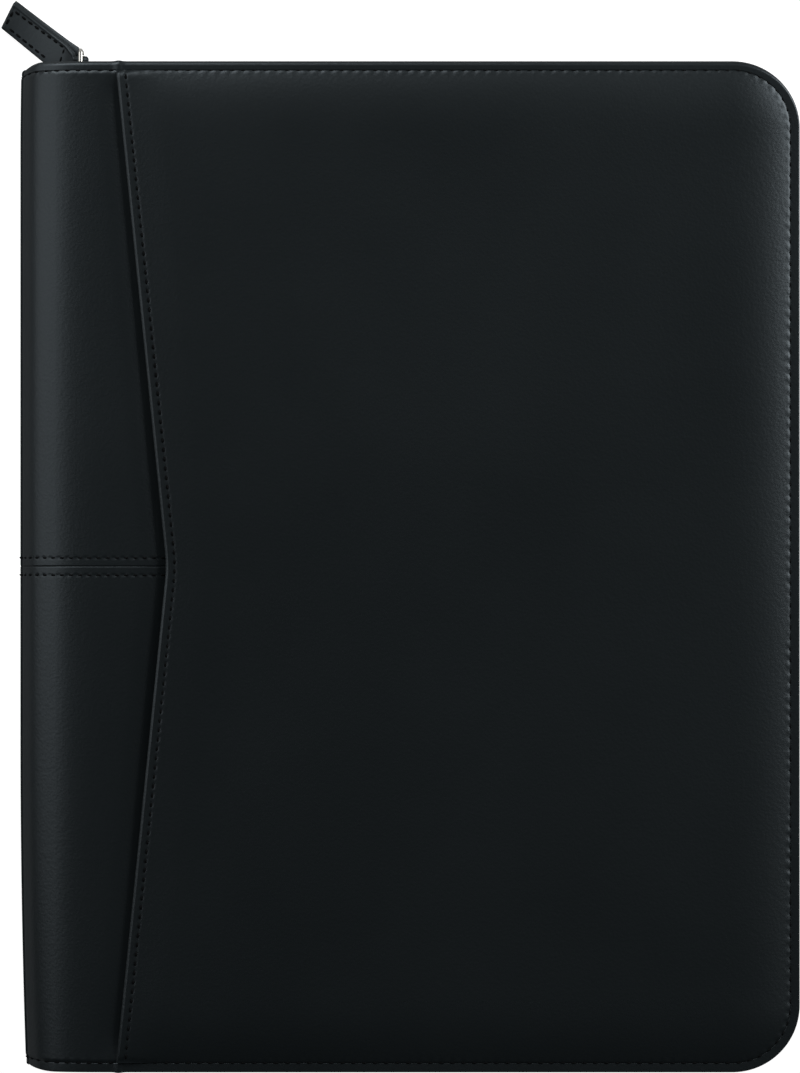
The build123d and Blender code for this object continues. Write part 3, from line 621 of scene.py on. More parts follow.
def thread_finish():
    """Bonded polyester thread, twisted from filaments: black and dull, with a fine slant in each stitch."""
    material, tree = new_finish("twisted polyester thread")
    place = node(tree, "TexCoord").outputs["Object"]
    twist = node(tree, "TexWave", {"Vector": place, "Scale": 1 / (0.9 * MM), "Distortion": 1.5},
                 bands_direction="DIAGONAL")
    bump = node(tree, "Bump", {"Height": twist.outputs["Fac"], "Strength": 0.4, "Distance": 0.08 * MM})
    return coat(material, {"Base Color": tint("thread"), "Roughness": 0.85, "Specular IOR Level": 0.1,
                           "Normal": bump})


def woven_finish(name, tone, spacing, slant, rough, flat=False):
    """Woven polyester: two sets of threads that cross, dull, with a slight sheen at a glancing angle. The
    threads follow the piece's own map, or the frame's axes on a flat lining. A wave's scale counts 0.314 for
    one thread."""
    material, tree = new_finish(name)
    place = node(tree, "TexCoord").outputs["Object"] if flat else node(tree, "UVMap", uv_map="cloth")
    turned = node(tree, "Mapping", {"Vector": place, "Rotation": (0, 0, slant)})
    inputs = {"Vector": turned, "Scale": 0.314 / spacing, "Distortion": 0.4, "Detail": 1}
    warp, weft = (node(tree, "TexWave", inputs, bands_direction=way).outputs["Fac"] for way in "XY")
    weave = node(tree, "Math", {0: warp, 1: weft}, operation="MULTIPLY")
    shade = node(tree, "Mix", {0: weave, 6: tint(tone, 0.6), 7: tint(tone, 1.4)}, data_type="RGBA")
    bump = node(tree, "Bump", {"Height": weave, "Strength": 0.5, "Distance": 0.15 * MM})
    return coat(material, {"Base Color": shade.outputs[2], "Roughness": rough, "Sheen Weight": 0.15,
                           "Normal": bump})


def nickel_finish():
    """Nickel-plated zinc, die-cast and tumbled: bright and warm grey, with faint handling scratches."""
    material, tree = new_finish("bright nickel plate on zinc")
    place = node(tree, "TexCoord").outputs["Object"]
    drawn = node(tree, "Mapping", {"Vector": place, "Scale": (1, 0.2, 1)})
    scratch = node(tree, "TexNoise", {"Vector": drawn, "Scale": 1 / (0.3 * MM), "Detail": 3})
    gloss = node(tree, "MapRange", {"Value": scratch, "To Min": 0.05, "To Max": 0.13})
    bump = node(tree, "Bump", {"Height": scratch, "Strength": 0.08, "Distance": 0.02 * MM})
    return coat(material, {"Base Color": tint("nickel"), "Metallic": 1, "Roughness": gloss, "Normal": bump})


def moulded_finish():
    """Acetal teeth, injection-moulded on the tape: black, smooth and slightly waxy."""
    material, tree = new_finish("moulded black acetal")
    place = node(tree, "TexCoord").outputs["Object"]
    mould = node(tree, "TexNoise", {"Vector": place, "Scale": 1 / (0.8 * MM), "Detail": 2})
    gloss = node(tree, "MapRange", {"Value": mould, "To Min": 0.3, "To Max": 0.42})
    bump = node(tree, "Bump", {"Height": mould, "Strength": 0.1, "Distance": 0.03 * MM})
    return coat(material, {"Base Color": tint("teeth"), "IOR": 1.48, "Roughness": gloss, "Normal": bump})


def film_finish():
    """Clear vinyl film, calendered: see-through and glossy, with slow ripples from its rolling."""
    material, tree = new_finish("clear calendered vinyl")
    place = node(tree, "TexCoord").outputs["Object"]
    ripple = node(tree, "TexNoise", {"Vector": place, "Scale": 1 / (14 * MM), "Detail": 1})
    bump = node(tree, "Bump", {"Height": ripple, "Strength": 0.15, "Distance": 0.4 * MM})
    return coat(material, {"Base Color": (1, 1, 1, 1), "Roughness": 0.08, "IOR": 1.53,
                           "Transmission Weight": 1, "Normal": bump})


def fibre_finish(name, tone, fleck, rough):
    """Pressed fibre, as in grey board and crepe tape: matt, mottled by its fibres."""
    material, tree = new_finish(name)
    place = node(tree, "TexCoord").outputs["Object"]
    fibre = node(tree, "TexNoise", {"Vector": place, "Scale": 1 / fleck, "Detail": 5, "Roughness": 0.7})
    shade = node(tree, "Mix", {0: fibre, 6: tint(tone, 0.75), 7: tint(tone, 1.2)}, data_type="RGBA")
    bump = node(tree, "Bump", {"Height": fibre, "Strength": 0.3, "Distance": 0.06 * MM})
    return coat(material, {"Base Color": shade.outputs[2], "Roughness": rough, "Normal": bump})


def paper_finish():
    """Uncoated writing paper, ruled and guillotined: warm white and matt, with pale lines on its face and the
    faint streaks of stacked sheets on its cut sides."""
    material, tree = new_finish("ruled uncoated paper")
    place = node(tree, "TexCoord").outputs["Object"]
    height = node(tree, "SeparateXYZ", {"Vector": place}).outputs["Y"]
    # Lines stand 8.7 mm apart and are 0.35 mm wide, and stop short of the top of the sheet.
    step = node(tree, "Math", {0: height, 1: 8.7 * MM}, operation="FLOORED_MODULO")
    line = node(tree, "Math", {0: step, 1: 0.35 * MM}, operation="LESS_THAN")
    below = node(tree, "Math", {0: height, 1: 119 * MM}, operation="LESS_THAN")
    facing = node(tree, "SeparateXYZ", {"Vector": node(tree, "NewGeometry").outputs["Normal"]}).outputs["Z"]
    upward = node(tree, "Math", {0: facing, 1: 0.9}, operation="GREATER_THAN")
    ruled = node(tree, "Math", {0: line, 1: below}, operation="MULTIPLY")
    ruled = node(tree, "Math", {0: ruled, 1: upward}, operation="MULTIPLY")
    stack = node(tree, "Mapping", {"Vector": place, "Scale": (20, 20, 1 / (0.25 * MM))})
    sheet = node(tree, "TexNoise", {"Vector": stack, "Scale": 1, "Detail": 2})
    streak = node(tree, "MapRange", {"Value": sheet, "To Min": 0.82, "To Max": 1.05})
    cut = node(tree, "Mix", {0: 1.0, 6: tint("paper"), 7: streak}, data_type="RGBA", blend_type="MULTIPLY")
    face = node(tree, "Mix", {0: upward, 6: cut.outputs[2], 7: tint("paper")}, data_type="RGBA")
    shade = node(tree, "Mix", {0: ruled, 6: face.outputs[2], 7: tint("rule")}, data_type="RGBA")
    fibre = node(tree, "TexNoise", {"Vector": place, "Scale": 1 / (0.7 * MM), "Detail": 4})
    bump = node(tree, "Bump", {"Height": fibre, "Strength": 0.08, "Distance": 0.03 * MM})
    return coat(material, {"Base Color": shade.outputs[2], "Roughness": 0.85, "Normal": bump})


def in_sight(tree):
    """The kinds of ray, and those of them that show a thing to the camera, straight or through clear film."""
    rays = node(tree, "LightPath").outputs
    straight, through = rays["Is Camera Ray"], rays["Is Transmission Ray"]
    return rays, node(tree, "Math", {0: straight, 1: through}, operation="MAXIMUM")


def floor_finish():
    """Matt white card: it keeps a faint shadow, is white to the camera, and is held dim in reflections."""
    material, tree = new_finish("matt white card")
    rays, seen = in_sight(tree)
    mirrored = node(tree, "Math", {0: rays["Is Glossy Ray"], 1: 0.08}, operation="MULTIPLY")
    glow = node(tree, "Math", {0: seen, 1: mirrored}, operation="MAXIMUM")
    return coat(material, {"Base Color": (0.35, 0.35, 0.35, 1), "Roughness": 0.9,
                           "Emission Color": (0.9, 0.9, 0.9, 1), "Emission Strength": glow})


# Ways that pieces are carried


def declare(stands_for):
    """Hides the nodes of the frame that the piece stands for, where it has any."""
    if stands_for:
        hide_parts(*stands_for)


def carry(piece, body, stands_for=()):
    """The piece moves with one body."""
    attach(piece, body)
    declare(stands_for)


def crease(piece, stands_for=()):
    """Fixes the piece where it is built, with its placement baked into its mesh, and hides the nodes of the
    frame that it stands for."""
    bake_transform(piece)
    declare(stands_for)


def paint(finish, slot, *nodes):
    """Gives nodes of the frame a finish."""
    for name in nodes:
        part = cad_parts[name]
        part.data.materials.clear()
        part.data.materials.append(finish)


# Pieces


class FOLIO_OT_pocket_panel(bpy.types.Operator):
    """The padded front panel with its V-shaped pocket edge, and the leather behind the pocket"""

    bl_idname = "folio.pocket_panel"
    bl_label = "Front pocket panel"

    def execute(self, context):
        size, row = sizes(), stitch()
        x, y = cover_grid(pocket_edge)
        run, depth = rim_place(x, y, size.rim_width)
        upright = math.cos(pocket_lean())
        hem = (x - pocket_edge(y)) * upright
        from_row = hem - row.hem_inset
        # The top falls towards the rim in a long crown and a short ditch, rounds over at the hem's folded
        # edge, dips along the hem's stitches, and wanders a little over the foam.
        held_up = 1 - ease(hem / (18 * MM))
        crown = size.crown_drop * (1 - 0.7 * held_up) * fall(depth, size.crown_run, 2.8)
        ditch = ((size.ditch_drop + 0.1 * MM * held_up) * fall(depth, size.ditch_run)
                 + 1.0 * MM * held_up * fall(depth, 2.2 * MM))
        fold = 0.5 * MM * fall(hem, 0.8 * MM, 1.25)
        groove = 0.12 * MM * bell(from_row, 0.5 * MM)
        swell = 0.55 * MM * (1 - ease(hem / (16 * MM)))
        lift = size.mouth_lift * arch(y) * (1 - ease(hem / (30 * MM)))
        wander = (0.06 * MM * (np.sin(x * 41 + y * 23) + np.sin(y * 37 - x * 19 + 1.3))
                  * ease(depth / (40 * MM)))
        floor = size.panel_floor - pocket_sink(depth) * (1 - held_up) + lift
        top = size.panel_top - crown - ditch - fold - groove - swell + lift + wander - 0.1 * MM
        top = np.maximum(top, floor + 0.3 * MM)
        maps = {"rim": together(run, depth), "hem": together(np.abs(y) / upright, np.abs(from_row))}
        finish = leatherette("padded panel", (("rim", row.rim_pitch, RIM_PUCKER),
                                              ("hem", row.hem_pitch, ROW_PUCKER)))
        panel = closed_skin("pocket_panel", together(x, y, top), together(x, y, floor), finish, maps)
        carry(panel, "front_cover", ("front_pocket_panel", "front_foam"))

        x, y = cover_grid(size.strip_middle + POCKET_LAP - size.half_width)
        level = size.skin_top - pocket_sink(rim_place(x, y, size.rim_width)[1])
        behind = closed_skin("pocket_back_leather", together(x, y, level),
                             together(x, y, level - size.leather), leatherette("pocket back"))
        carry(behind, "front_cover", ("front_pocket_back",))
        return {"FINISHED"}


class FOLIO_OT_back_panel(bpy.types.Operator):
    """The back cover's leather: flat where it rests and drawn up into the rim's ditch"""

    bl_idname = "folio.back_panel"
    bl_label = "Back panel"

    def execute(self, context):
        size, row = sizes(), stitch()
        seam = size.back_seam - size.half_width
        x, y = cover_grid(seam)
        run, depth = rim_place(x, y, size.rim_width)
        # The underside rises towards the rim in a crown and a ditch, and tucks up into the straight seam.
        low = (0.6 * MM * fall(depth, 7 * MM) + 0.45 * MM * fall(depth, size.ditch_run)
               + 0.45 * MM * fall(x - seam, 0.9 * MM))
        low = np.minimum(low, 0.95 * size.leather)
        finish = leatherette("back panel", (("rim", row.rim_pitch, RIM_PUCKER),))
        panel = closed_skin("back_panel_leather", together(x, y, size.leather), together(x, y, low), finish,
                            {"rim": together(run, depth)})
        carry(panel, "back_cover", ("back_panel", "back_foam"))
        return {"FINISHED"}


class FOLIO_OT_spine_leather(bpy.types.Operator):
    """The leather rolled round the spine: an upper and a lower piece, sewn together at mid height"""

    bl_idname = "folio.spine_leather"
    bl_label = "Spine leather"

    def execute(self, context):
        size, row = sizes(), stitch()
        end, close = size.half_height - size.rim_width, 6 * MM
        finish = leatherette("spine", (("rim", row.rim_pitch, RIM_PUCKER),
                                       ("seam", row.seam_pitch, ROW_PUCKER)))
        near = np.concatenate((close * np.linspace(0, 1, 28) ** 1.3,
                               np.linspace(close, end - close, 60)[1:-1],
                               end - close * np.linspace(1, 0, 20) ** 1.6))
        for half, way in (("upper", 1), ("lower", -1)):
            y = np.sort(way * near)[:, None]
            from_seam, from_end = np.abs(y), end - np.abs(y)
            from_row = from_seam - row.seam_offset
            for cover, top in COVERS:
                lap = POCKET_LAP if top > 0 else 0
                flat = (size.strip_middle if top > 0 else size.back_seam) + lap - size.spine_radius
                run, section, normal = spine_section(flat, top, 22)
                # The skin dips into the seam, along the row of stitches beside it, and into the rim's ditch;
                # the back tucks into the straight seam, and the front sinks under the pocket edge.
                dip = ((0.25 if way > 0 else 0.12) * MM * fall(from_seam, 0.5 * MM)
                       + 0.08 * MM * bell(from_row, 0.5 * MM)
                       + 0.45 * MM * fall(from_end, 1.4 * MM) + 0 * run)
                shift = spine_ease(run, flat, top, y)
                if top > 0:
                    shift = shift + strip_sink(pocket_edge(y) - section[:, 0], y)
                else:
                    dip = dip + 0.45 * MM * fall(run, 0.9 * MM)
                drawn = end_pull(section[:, 0], way, LEATHER_PULL) * ease(1 - from_end / END_EASE)
                order = slice(None, None, -1) if top > 0 else slice(None)

                def skin(depth):
                    """Points of the section at a depth under the outer face, with the end drawn in."""
                    return stood(section - normal * (depth + shift)[..., None], y - way * drawn)[:, order]

                # Distances along the rows, from the middle of each row of stitches.
                maps = {"rim": together(rim_reach() + run - flat, from_end)[:, order],
                        "seam": together(run - (run[-1] + lap) / 2, np.abs(from_row))[:, order]}
                shown = skin(np.minimum(dip, 0.9 * size.leather))
                piece = closed_skin(f"spine_leather_{half}_{cover}", shown, skin(size.leather), finish, maps)
                nodes = [f"spine_cover_{half}_{cover}"] + ([f"spine_cover_{half}"] if top > 0 else [])
                crease(piece, nodes)
        return {"FINISHED"}


class FOLIO_OT_edge_binding(bpy.types.Operator):
    """The rounded leather rims of both covers, and their ends rolled round the spine"""

    bl_idname = "folio.edge_binding"
    bl_label = "Edge binding"

    def execute(self, context):
        size = sizes()
        finish = leatherette("turned rim")
        left, small = size.spine_radius - size.half_width, 0.3 * MM
        path, normal = rim_path(left)
        x = path[:, 0]
        taper = ease((x - left) / (8 * MM))
        # The pocket's hem ends under the binding, and makes a lump in it.
        lump = 0.25 * MM * bell(x - size.strip_end + size.half_width - 1 * MM, 1.3 * MM)
        thin = size.strip_rim_top - size.rim_depth - strip_sag(0.0)
        foot_low, foot_high = size.back_rim_low, size.back_rim_low + size.rim_depth
        # The rim is pulled rounder along the top run than along the zip edge.
        outer, foot = (0.5 + 1.2 * np.clip(normal[:, 1], 0, 1) ** 2) * MM, small + 0.6 * MM * taper
        for cover, low, high, out, radii in (
            ("front", size.rim_low + (thin - size.rim_low) * (1 - taper), rim_crest(x) + 1.4 * lump, lump,
             (foot, small, small, outer)),
            ("back", foot_low, foot_high + (size.back_rim_top - foot_high) * taper, 0 * lump,
             (outer, small, small, foot)),
        ):
            profile = rounded_box(together(-out, low), together(size.rim_width, high), together(*radii))
            rim = make_band(f"{cover}_rim", finish, carried(path, -normal, UP, profile), flat_faces=2)
            carry(rim, f"{cover}_cover", (f"{cover}_binding",))
        # The rolled ends: the same rounded band, carried round half the spine's section.
        for end, way in ENDS:
            first, last = (1.7 * MM, 1.4 * MM) if way > 0 else (0.5 * MM, 0.8 * MM)
            for cover, top in COVERS:
                run, section, outward = spine_section(0.0, top, 16)
                pull = end_pull(section[:, 0], way)
                y = way * (size.half_height - pull)
                at = section - outward * spine_ease(run, 0.0, top, y)[:, None]
                rolled = ease(run / (size.spine_radius * 1.2))
                crest = -0.4 * MM + 0.2 * MM * rolled
                wide = size.rim_width - pull * (1 - LEATHER_PULL)
                radii = together(small, small, small, first * (1 - rolled) + last * rolled)
                profile = rounded_box(together(0.0, crest - size.rim_depth), together(wide, crest), radii)
                band = carried(stood(at, y), (0, -way, 0.0), stood(outward, 0.0), profile)
                rim = make_band(f"spine_rim_{end}_{cover}", finish, band, flat_faces=2)
                nodes = (f"spine_binding_{end}",) if top > 0 else ()
                crease(rim, nodes)
        return {"FINISHED"}


class FOLIO_OT_linings(bpy.types.Operator):
    """The cloth linings of the covers and the spine"""

    bl_idname = "folio.linings"
    bl_label = "Linings"

    def execute(self, context):
        size = sizes()
        finish = woven_finish("woven polyester lining", "lining", 0.55 * MM, 0.0, 0.7, flat=True)
        board = size.board_setback - size.half_width
        x, y = cover_grid(board)
        ripple = 0.06 * MM * np.sin(x * 55 + 0.7) * np.sin(y * 47)
        for cover, level, way in (("back", size.inside_floor, 1), ("front", size.inside_roof, -1)):
            faces = [together(x, y, level - way * depth) for depth in (0.1 * MM - ripple, size.lining)]
            sheet = closed_skin(f"{cover}_lining_cloth", *faces[::way], finish)
            carry(sheet, f"{cover}_cover", (f"{cover}_lining",))
        # The spine's lining turns over the boards' edge, then follows the leather to the spine's middle.
        end, radius = size.half_height - size.rim_width - 0.2 * MM, 0.9 * MM
        y = np.linspace(-end, end, 80)[:, None]
        near_end = ease(1 - (end - np.abs(y)) / END_EASE)
        flat = size.board_setback - size.spine_radius - 1.4 * MM
        bend = np.linspace(0, np.pi / 2, 6)[:-1]
        face = board - 0.35 * MM
        for (cover, top), level in zip(COVERS, (size.inside_roof, size.inside_floor)):
            run, section, normal = spine_section(flat, top, 10)
            sag = strip_sag(run - flat) if top > 0 else 0 * run
            inner = section - normal * (size.leather + size.lining + sag)[:, None]
            turn = together(face - radius * (1 - np.cos(bend)),
                            inner[0, 1] + top * radius * (np.sin(bend) - 1))
            wall = together(face, np.linspace(level + top * 0.3 * MM, turn[0, 1], 5)[:-1])
            line = np.concatenate((wall, turn, inner))
            along = unit(np.gradient(line, axis=0))
            inside = together(-along[:, 1], along[:, 0]) * top
            pull = np.where(y > 0, *(end_pull(line[:, 0], way, LEATHER_PULL) for way in (1, -1))) * near_end
            shown, hidden = (stood(line + inside * depth, y - np.sign(y) * pull)[:, ::top]
                             for depth in (0.25 * MM, -0.25 * MM))
            piece = closed_skin(f"spine_lining_{cover}_cloth", shown, hidden, finish)
            nodes = [f"spine_lining_{cover}"] + (["spine_lining"] if top > 0 else [])
            crease(piece, nodes)
        return {"FINISHED"}


class FOLIO_OT_zip_tapes(bpy.types.Operator):
    """The woven tapes that carry the zip's teeth: a standing band, and the flange sewn to each lining"""

    bl_idname = "folio.zip_tapes"
    bl_label = "Zip tapes"

    def execute(self, context):
        size = sizes()
        finish = woven_finish("woven polyester zip tape", "tape", 0.7 * MM, 0.6, 0.75)
        thick, reach = 0.7 * MM, 6 * MM
        for cover in ("back", "front"):
            low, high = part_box(f"{cover}_zip_tape")
            inset = size.half_height - high.y
            foot = low.z if cover == "back" else high.z - thick
            head = low.z + thick if cover == "back" else high.z
            standing = rounded_profile((inset, low.z), (inset + thick, high.z), 8, 20)
            flange = rounded_profile((inset + 0.1 * MM, foot), (inset + reach, head), 9, 20)
            parts = []
            for left, profile in ((low.x, standing), (size.board_setback - size.half_width, flange)):
                path, normal = rim_path(left, size.chain_corner)
                parts.append(carried(path, -normal, UP, profile))
            carry(make_band(f"{cover}_tape_cloth", finish, *parts), f"{cover}_cover",
                  (f"{cover}_zip_tape",))
        return {"FINISHED"}


class FOLIO_OT_stitching(bpy.types.Operator):
    """Every visible row of stitches on the covers and the spine"""

    bl_idname = "folio.stitching"
    bl_label = "Stitching"

    def execute(self, context):
        size, row = sizes(), stitch()
        finish = thread_finish()
        path, normal = rim_path(size.spine_radius - size.half_width)
        line = path - normal * row.rim_inset
        inside = size.half_height - size.rim_width
        reach = inside - 1 * MM
        y = np.linspace(-1, 1, 400) * reach
        drawn = 0.35 * size.crown_drop * fall(inside - np.abs(y), size.crown_run, 2.8)
        hem = together(pocket_edge(y) + row.hem_inset / math.cos(pocket_lean()), y,
                       size.panel_top + size.mouth_lift * arch(y) - drawn - 0.7 * MM)
        rim = line + UP * (rim_crest(path[:, 0]) - 0.1 * MM)[:, None]
        rows = [stitch_row(rim, UP, row.rim_pitch, row.thread),
                stitch_row(hem, UP, row.hem_pitch, row.thread)]
        carry(make_stitches("front_stitches", finish, rows), "front_cover")

        beside = (-row.seam_offset, row.seam_offset)
        rows = [stitch_row(line + UP * 0.9 * MM, -UP, row.rim_pitch, row.thread)]
        for offset in beside:
            down = together(size.back_seam - size.half_width + offset, np.linspace(-reach, reach, 80),
                            0.12 * MM)
            rows.append(stitch_row(down, -UP, row.seam_pitch, row.thread * 0.85, 0.55))
        carry(make_stitches("back_stitches", finish, rows), "back_cover")

        # Rows that cross a crease: beside the spine's seam, and along the rolled rims in step with the rims.
        first = (int(rim_reach() / row.rim_pitch + 0.5) + 0.5) * row.rim_pitch - rim_reach()
        for (cover, top), wide in zip(COVERS, (size.strip_middle, size.back_seam)):
            flat, rows = wide - size.spine_radius, []
            run, section, out = spine_section(flat, top, 40)
            for offset in beside:
                under = 0.1 * MM + spine_ease(run, flat, top, offset)
                if top > 0:
                    under += strip_sink(pocket_edge(offset) - section[:, 0], offset)
                line = self.laid(section, out, offset, under)
                rows.append(stitch_row(*line, row.seam_pitch, row.thread * 0.9))
            run, section, out = spine_section(0.0, top, 20)
            for way in (-1, 1):
                y = way * (size.half_height - row.rim_inset - end_pull(section[:, 0], way, LEATHER_PULL))
                under = 0.45 * MM + spine_ease(run, 0.0, top, y)
                line = self.laid(section, out, y, under)
                rows.append(stitch_row(*line, row.rim_pitch, row.thread, first=first))
            crease(make_stitches(f"spine_stitches_{cover}", finish, rows))
        return {"FINISHED"}

    def laid(self, section, out, y, depth):
        """A row across the spine at a height, at a depth under the outer face, and its outward direction."""
        return stood(section - out * depth[:, None], y), stood(out, 0.0)


class FOLIO_OT_pull_tab(bpy.types.Operator):
    """The zip's leather pull: one strip folded round the ring's lower wire, its two layers sewn together"""

    bl_idname = "folio.pull_tab"
    bl_label = "Pull tab"

    def execute(self, context):
        row = stitch()
        ring_low, ring_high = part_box("pull_ring")
        wire_x, wire_z, base = (ring_low.x + ring_high.x) / 2, ring_low.z + 0.75 * MM, ring_low.y
        foot, shoulder, corner = base + 3.6 * MM, base + 6.6 * MM, base + 17.15 * MM
        layer, fold = 1.3 * MM, 1.55 * MM
        slope, tip_slope, top_slope, row_slope = 0.815, 2.0, 0.784, 0.755
        reach, drop, bend, soft, start = 28.1 * MM, 7.95 * MM, 2.4, 0.4 * MM, 1.74 * MM
        # Along the strip: the upper layer from tip to wire, a half turn round the wire, and the lower back.
        flat = np.concatenate((np.linspace(-0.993, -0.72, 34), np.linspace(-0.72, -0.12, 54)[1:],
                               np.linspace(-0.12, 0, 28)[1:])) * reach
        droop = -drop * (1 - (1 + flat / reach) ** bend)
        tilt = np.arctan(drop / reach * bend * (1 + flat / reach) ** (bend - 1))
        apart = layer / 2 + 0.02 * MM + (fold - layer / 2) * ease(1 + flat / (6 * MM))
        turn = np.linspace(np.pi / 2, -np.pi / 2, 16)[1:-1] + tilt[-1]
        above = together(flat - apart * np.sin(tilt), droop + apart * np.cos(tilt))
        below = together(flat + apart * np.sin(tilt), droop - apart * np.cos(tilt))
        line = np.concatenate((above, fold * together(np.cos(turn), np.sin(turn)), below[::-1]))
        at = np.concatenate((flat, 0 * turn, flat[::-1]))
        upper = np.concatenate((np.ones(len(flat)), np.linspace(1, 0, len(turn)), np.zeros(len(flat))))
        # In plan: two long edges that run nearly parallel, a slanted tip and a level foot, all met in rounded
        # corners; the upper layer is cut a little narrower along its outer edge.
        top_line = base + 9.85 * MM - top_slope * (at + start)
        top_line = top_line - upper * (0.9 * MM + 0.8 * MM * ease((at + 5 * MM) / (3.2 * MM)))
        tip_line, low_line = corner + tip_slope * (at + reach), corner - slope * (at + reach)
        crown = -soft * np.logaddexp(-top_line / soft, -tip_line / soft)
        high = crown + (shoulder - crown) * ease((at + 2.0 * MM) / (0.9 * MM))
        low = np.minimum(soft * np.logaddexp(low_line / soft, foot / soft), high - 0.6 * MM)
        way = unit(np.gradient(line, axis=0))
        half, thick = (high - low) / 2, layer / 2
        profile = rounded_profile(together(-half, -thick), together(half, thick), 2.6, 64)
        # The upper layer's outer edge stands up in a rounded ridge past its stitches.
        edge = np.clip((half[:, None] - profile[..., 0]) / (2.2 * MM), 0, 1)
        profile[..., 1] += 0.5 * MM * upper[:, None] * np.sin(np.pi * edge) ** 2
        strip = carried(together(wire_x + line[:, 0], (low + high) / 2, wire_z + line[:, 1]), (0, 1.0, 0),
                        together(-way[:, 1], 0.0, way[:, 0]), profile)
        finish = leatherette("dulled pull tab", rough=(0.44, 0.5))
        tab = make_band("pull_tab_leather", finish, strip, flat_faces=2)
        carry(tab, "pull_tab", ("pull_tab",))

        def on_top(x, y):
            """Points on the upper layer's outer face at places in plan, measured from the wire."""
            return together(wire_x + x, y, wire_z + np.interp(x, flat, above[:, 1]) + thick - 0.02 * MM)

        far, near, share = -26.5 * MM, -6.0 * MM, np.linspace(0, 1, 12)
        x = np.linspace(far + 2.8 * MM, near, 30)
        top_row = on_top(x, base + 6.4 * MM - row_slope * (x + start))
        x = np.linspace(far, -11.5 * MM, 30)
        low_row = on_top(x, base + 19.15 * MM - slope * (x + reach))
        tip = low_row[0] + (top_row[0] - low_row[0]) * share[:, None]
        tip_row = on_top(tip[:, 0] - wire_x, tip[:, 1])
        end_row = on_top(near - 1.7 * MM * share, base + 9.6 * MM - 4.6 * MM * share)
        rows = [stitch_row(sewn, np.array((-0.28, 0, 0.96)), row.tab_pitch, row.thread * 1.1, LONG_STITCH)
                for sewn in (top_row, low_row, tip_row, end_row)]
        carry(make_stitches("pull_tab_stitches", thread_finish(), rows), "pull_tab")
        return {"FINISHED"}


class FOLIO_OT_pen_loop(bpy.types.Operator):
    """The elastic pen loop and the flat tail that sews it to the spine"""

    bl_idname = "folio.pen_loop"
    bl_label = "Pen loop"

    def execute(self, context):
        low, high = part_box("pen_loop")
        middle, half = (low + high) / 2, (high.y - low.y) / 2
        outer, wall, tail_wall = (high.z - low.z) / 2, 1.0 * MM, 0.76 * MM
        angle = np.linspace(0, 2 * np.pi, 64, endpoint=False)
        out = together(np.cos(angle), 0.0, np.sin(angle))
        path = np.array((high.x - outer, middle.y, middle.z)) + out * (outer - wall / 2)
        band = rounded_profile((-half, -wall / 2), (half, wall / 2), 10, 48)
        line = together(low.x + 0.4 * MM, middle.y, np.linspace(middle.z - 5 * MM, middle.z + 5 * MM, 12))
        tail = rounded_profile((-half, -tail_wall / 2), (half, tail_wall / 2), 8, 32)
        finish = woven_finish("ribbed elastic webbing", "elastic", 0.9 * MM, 0.0, 0.8)
        loop = make_band("pen_loop_elastic", finish, carried(path, (0, 1.0, 0), out, band, closed=True),
                         carried(line, (0, 1.0, 0), (1.0, 0, 0), tail))
        carry(loop, "spine", ("pen_loop",))
        return {"FINISHED"}


